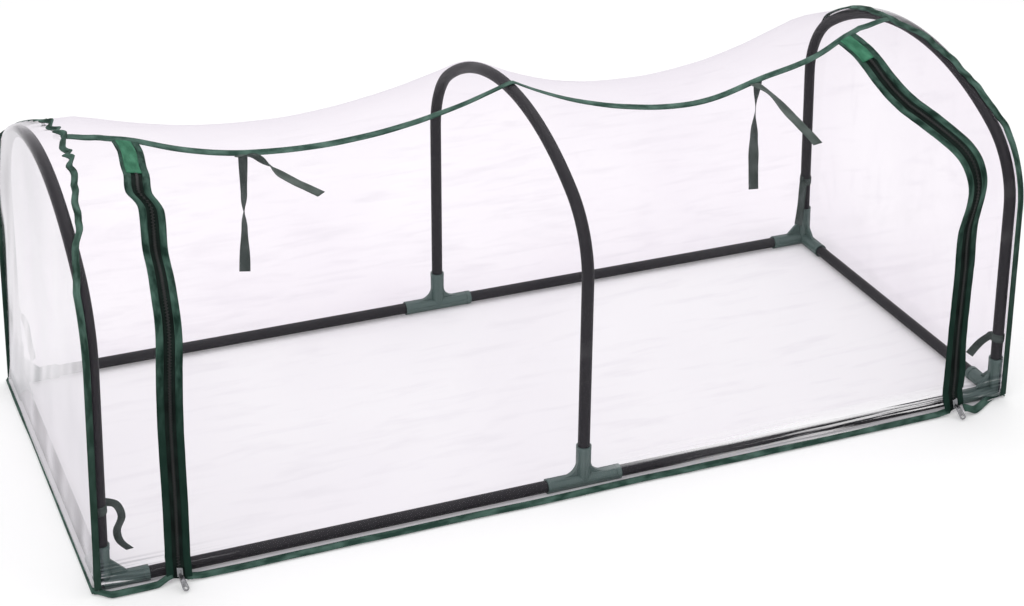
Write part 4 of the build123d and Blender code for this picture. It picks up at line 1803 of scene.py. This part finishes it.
@dataclass
class TubeFrame:
    """The CAD's own tubes and connectors, with their finishes."""

    tubes: tuple[str, ...] = ("_hoop", "_rail")
    connectors: tuple[str, ...] = ("_corner", "_tee")

    def dress(self) -> None:
        """Gives each tube and connector its finish."""
        for name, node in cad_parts.items():
            if name.endswith(self.tubes):
                self.finish(node, COATED_TUBE)
            elif name.endswith(self.connectors):
                self.finish(node, MOULDED_SLATE)

    def finish(self, node: bpy.types.Object, finish: GrainFinish) -> None:
        """Puts one finish on a CAD node.

        Args:
            node: The node's object.
            finish: The finish that it takes.
        """
        node.data.materials.clear()
        node.data.materials.append(finish.material())
        LOG.info("%s: %s", node.name, finish.name)


@dataclass
class Studio:
    """Plain white studio: pale floor, soft lamps and the photograph's camera."""

    focal_pixels: float = 2103.91
    sensor_width: float = 36.0
    azimuth: float = math.radians(-22.5478)
    elevation: float = math.radians(27.1931)
    roll: float = math.radians(0.43553)
    target: tuple[float, float, float] = (-0.06431, -0.18969, 0.3)
    distance: float = 3.91758
    floor_half: float = 14.0
    floor_drop: float = 0.0004
    floor_colour: Colour = (0.96, 0.96, 0.96)
    floor_light: float = 1.3
    sky_level: float = 0.80
    floor_glow: float = 0.12

    def camera(self) -> None:
        """Sets up the camera at the photograph's viewpoint."""
        data = bpy.data.cameras.new("photo_camera")
        data.sensor_width = self.sensor_width
        data.lens = self.focal_pixels * self.sensor_width / IMAGE_SIZE[0]
        back = Vector((math.sin(self.azimuth) * math.cos(self.elevation),
                       -math.cos(self.azimuth) * math.cos(self.elevation), math.sin(self.elevation)))
        right = (-back).cross(UP).normalized()
        up = right.cross(-back)
        rolled_right = right * math.cos(self.roll) + up * math.sin(self.roll)
        rolled_up = up * math.cos(self.roll) - right * math.sin(self.roll)
        turn = Matrix((rolled_right, rolled_up, back)).transposed().to_4x4()
        camera = link("photo_camera", data)
        camera.matrix_world = Matrix.Translation(Vector(self.target) + back * self.distance) @ turn
        bpy.context.scene.camera = camera

    def floor(self) -> None:
        """Lays the white floor, which keeps the object's shadow."""
        mesh = bmesh.new()
        bmesh.ops.create_grid(mesh, x_segments=1, y_segments=1, size=self.floor_half)
        bmesh.ops.translate(mesh, verts=mesh.verts[:], vec=(0.0, 0.0, -self.floor_drop))
        data = bpy.data.meshes.new("studio_floor")
        mesh.to_mesh(data)
        mesh.free()
        floor = link("studio_floor", data)
        material, bench = new_material("white_floor")
        paper = bench.add("ShaderNodeBsdfDiffuse", {"Color": rgba(self.floor_colour)}).outputs[0]
        light = bench.add("ShaderNodeEmission", {"Color": WHITE, "Strength": self.floor_light}).outputs[0]
        rays = bench.add("ShaderNodeLightPath").outputs
        share = bench.times(rays["Is Camera Ray"], self.floor_glow)
        skin = bench.add("ShaderNodeMixShader", {0: share, 1: paper, 2: light}).outputs[0]
        bench.add("ShaderNodeOutputMaterial", {"Surface": skin})
        data.materials.append(material)

    def sky(self) -> None:
        """Sets the even light of the room, white where the camera sees it."""
        world = bpy.data.worlds.new("white_room")
        world.use_nodes = True
        bench = NodeBench(world.node_tree)
        even = bench.add("ShaderNodeBackground", {"Color": WHITE, "Strength": self.sky_level})
        seen_as = bench.add("ShaderNodeBackground", {"Color": WHITE, "Strength": 1.0})
        rays = bench.add("ShaderNodeLightPath").outputs
        seen = bench.sum("MAXIMUM", rays["Is Camera Ray"], rays["Is Glossy Ray"])
        mixed = bench.add("ShaderNodeMixShader", {0: seen, 1: even.outputs[0], 2: seen_as.outputs[0]})
        bench.add("ShaderNodeOutputWorld", {"Surface": mixed.outputs[0]})
        bpy.context.scene.world = world

    def lamp(self, name: str, place: tuple[float, float, float], aim: tuple[float, float, float],
             size: tuple[float, float], power: float) -> None:
        """Hangs one soft lamp.

        Args:
            name: Name of the lamp.
            place: Where it hangs.
            aim: Where it points.
            size: Its width and height.
            power: Its power in watts.
        """
        data = bpy.data.lights.new(name, "AREA")
        data.shape = "RECTANGLE"
        data.size, data.size_y = size
        data.energy = power
        lamp = link(name, data)
        toward = Vector(aim) - Vector(place)
        turn = toward.to_track_quat("-Z", "Y").to_matrix().to_4x4()
        lamp.matrix_world = Matrix.Translation(place) @ turn

    def build(self) -> None:
        """Builds the studio."""
        bpy.context.scene.view_settings.view_transform = "Standard"
        self.camera()
        self.floor()
        self.sky()
        self.lamp("key_lamp", (-2.2, -2.6, 3.2), (0.0, 0.0, 0.2), (3.4, 2.6), 46.0)
        self.lamp("top_lamp", (0.6, 0.8, 3.4), (0.0, 0.0, 0.0), (4.0, 3.0), 40.0)


def main() -> None:
    """Builds the scene in order."""
    logging.basicConfig(level=logging.INFO, format="%(name)s %(message)s")
    Studio().build()
    TubeFrame().dress()
    drape = Drape()
    cover = FilmCover(drape)
    cover.build()
    Bindings(drape).build()
    Zip(drape, End.LEFT).build()
    Zip(drape, End.RIGHT, tab_length=0.096).build()
    Ties(drape).build()
    cover.declare()


if __name__ == "__main__":
    main()
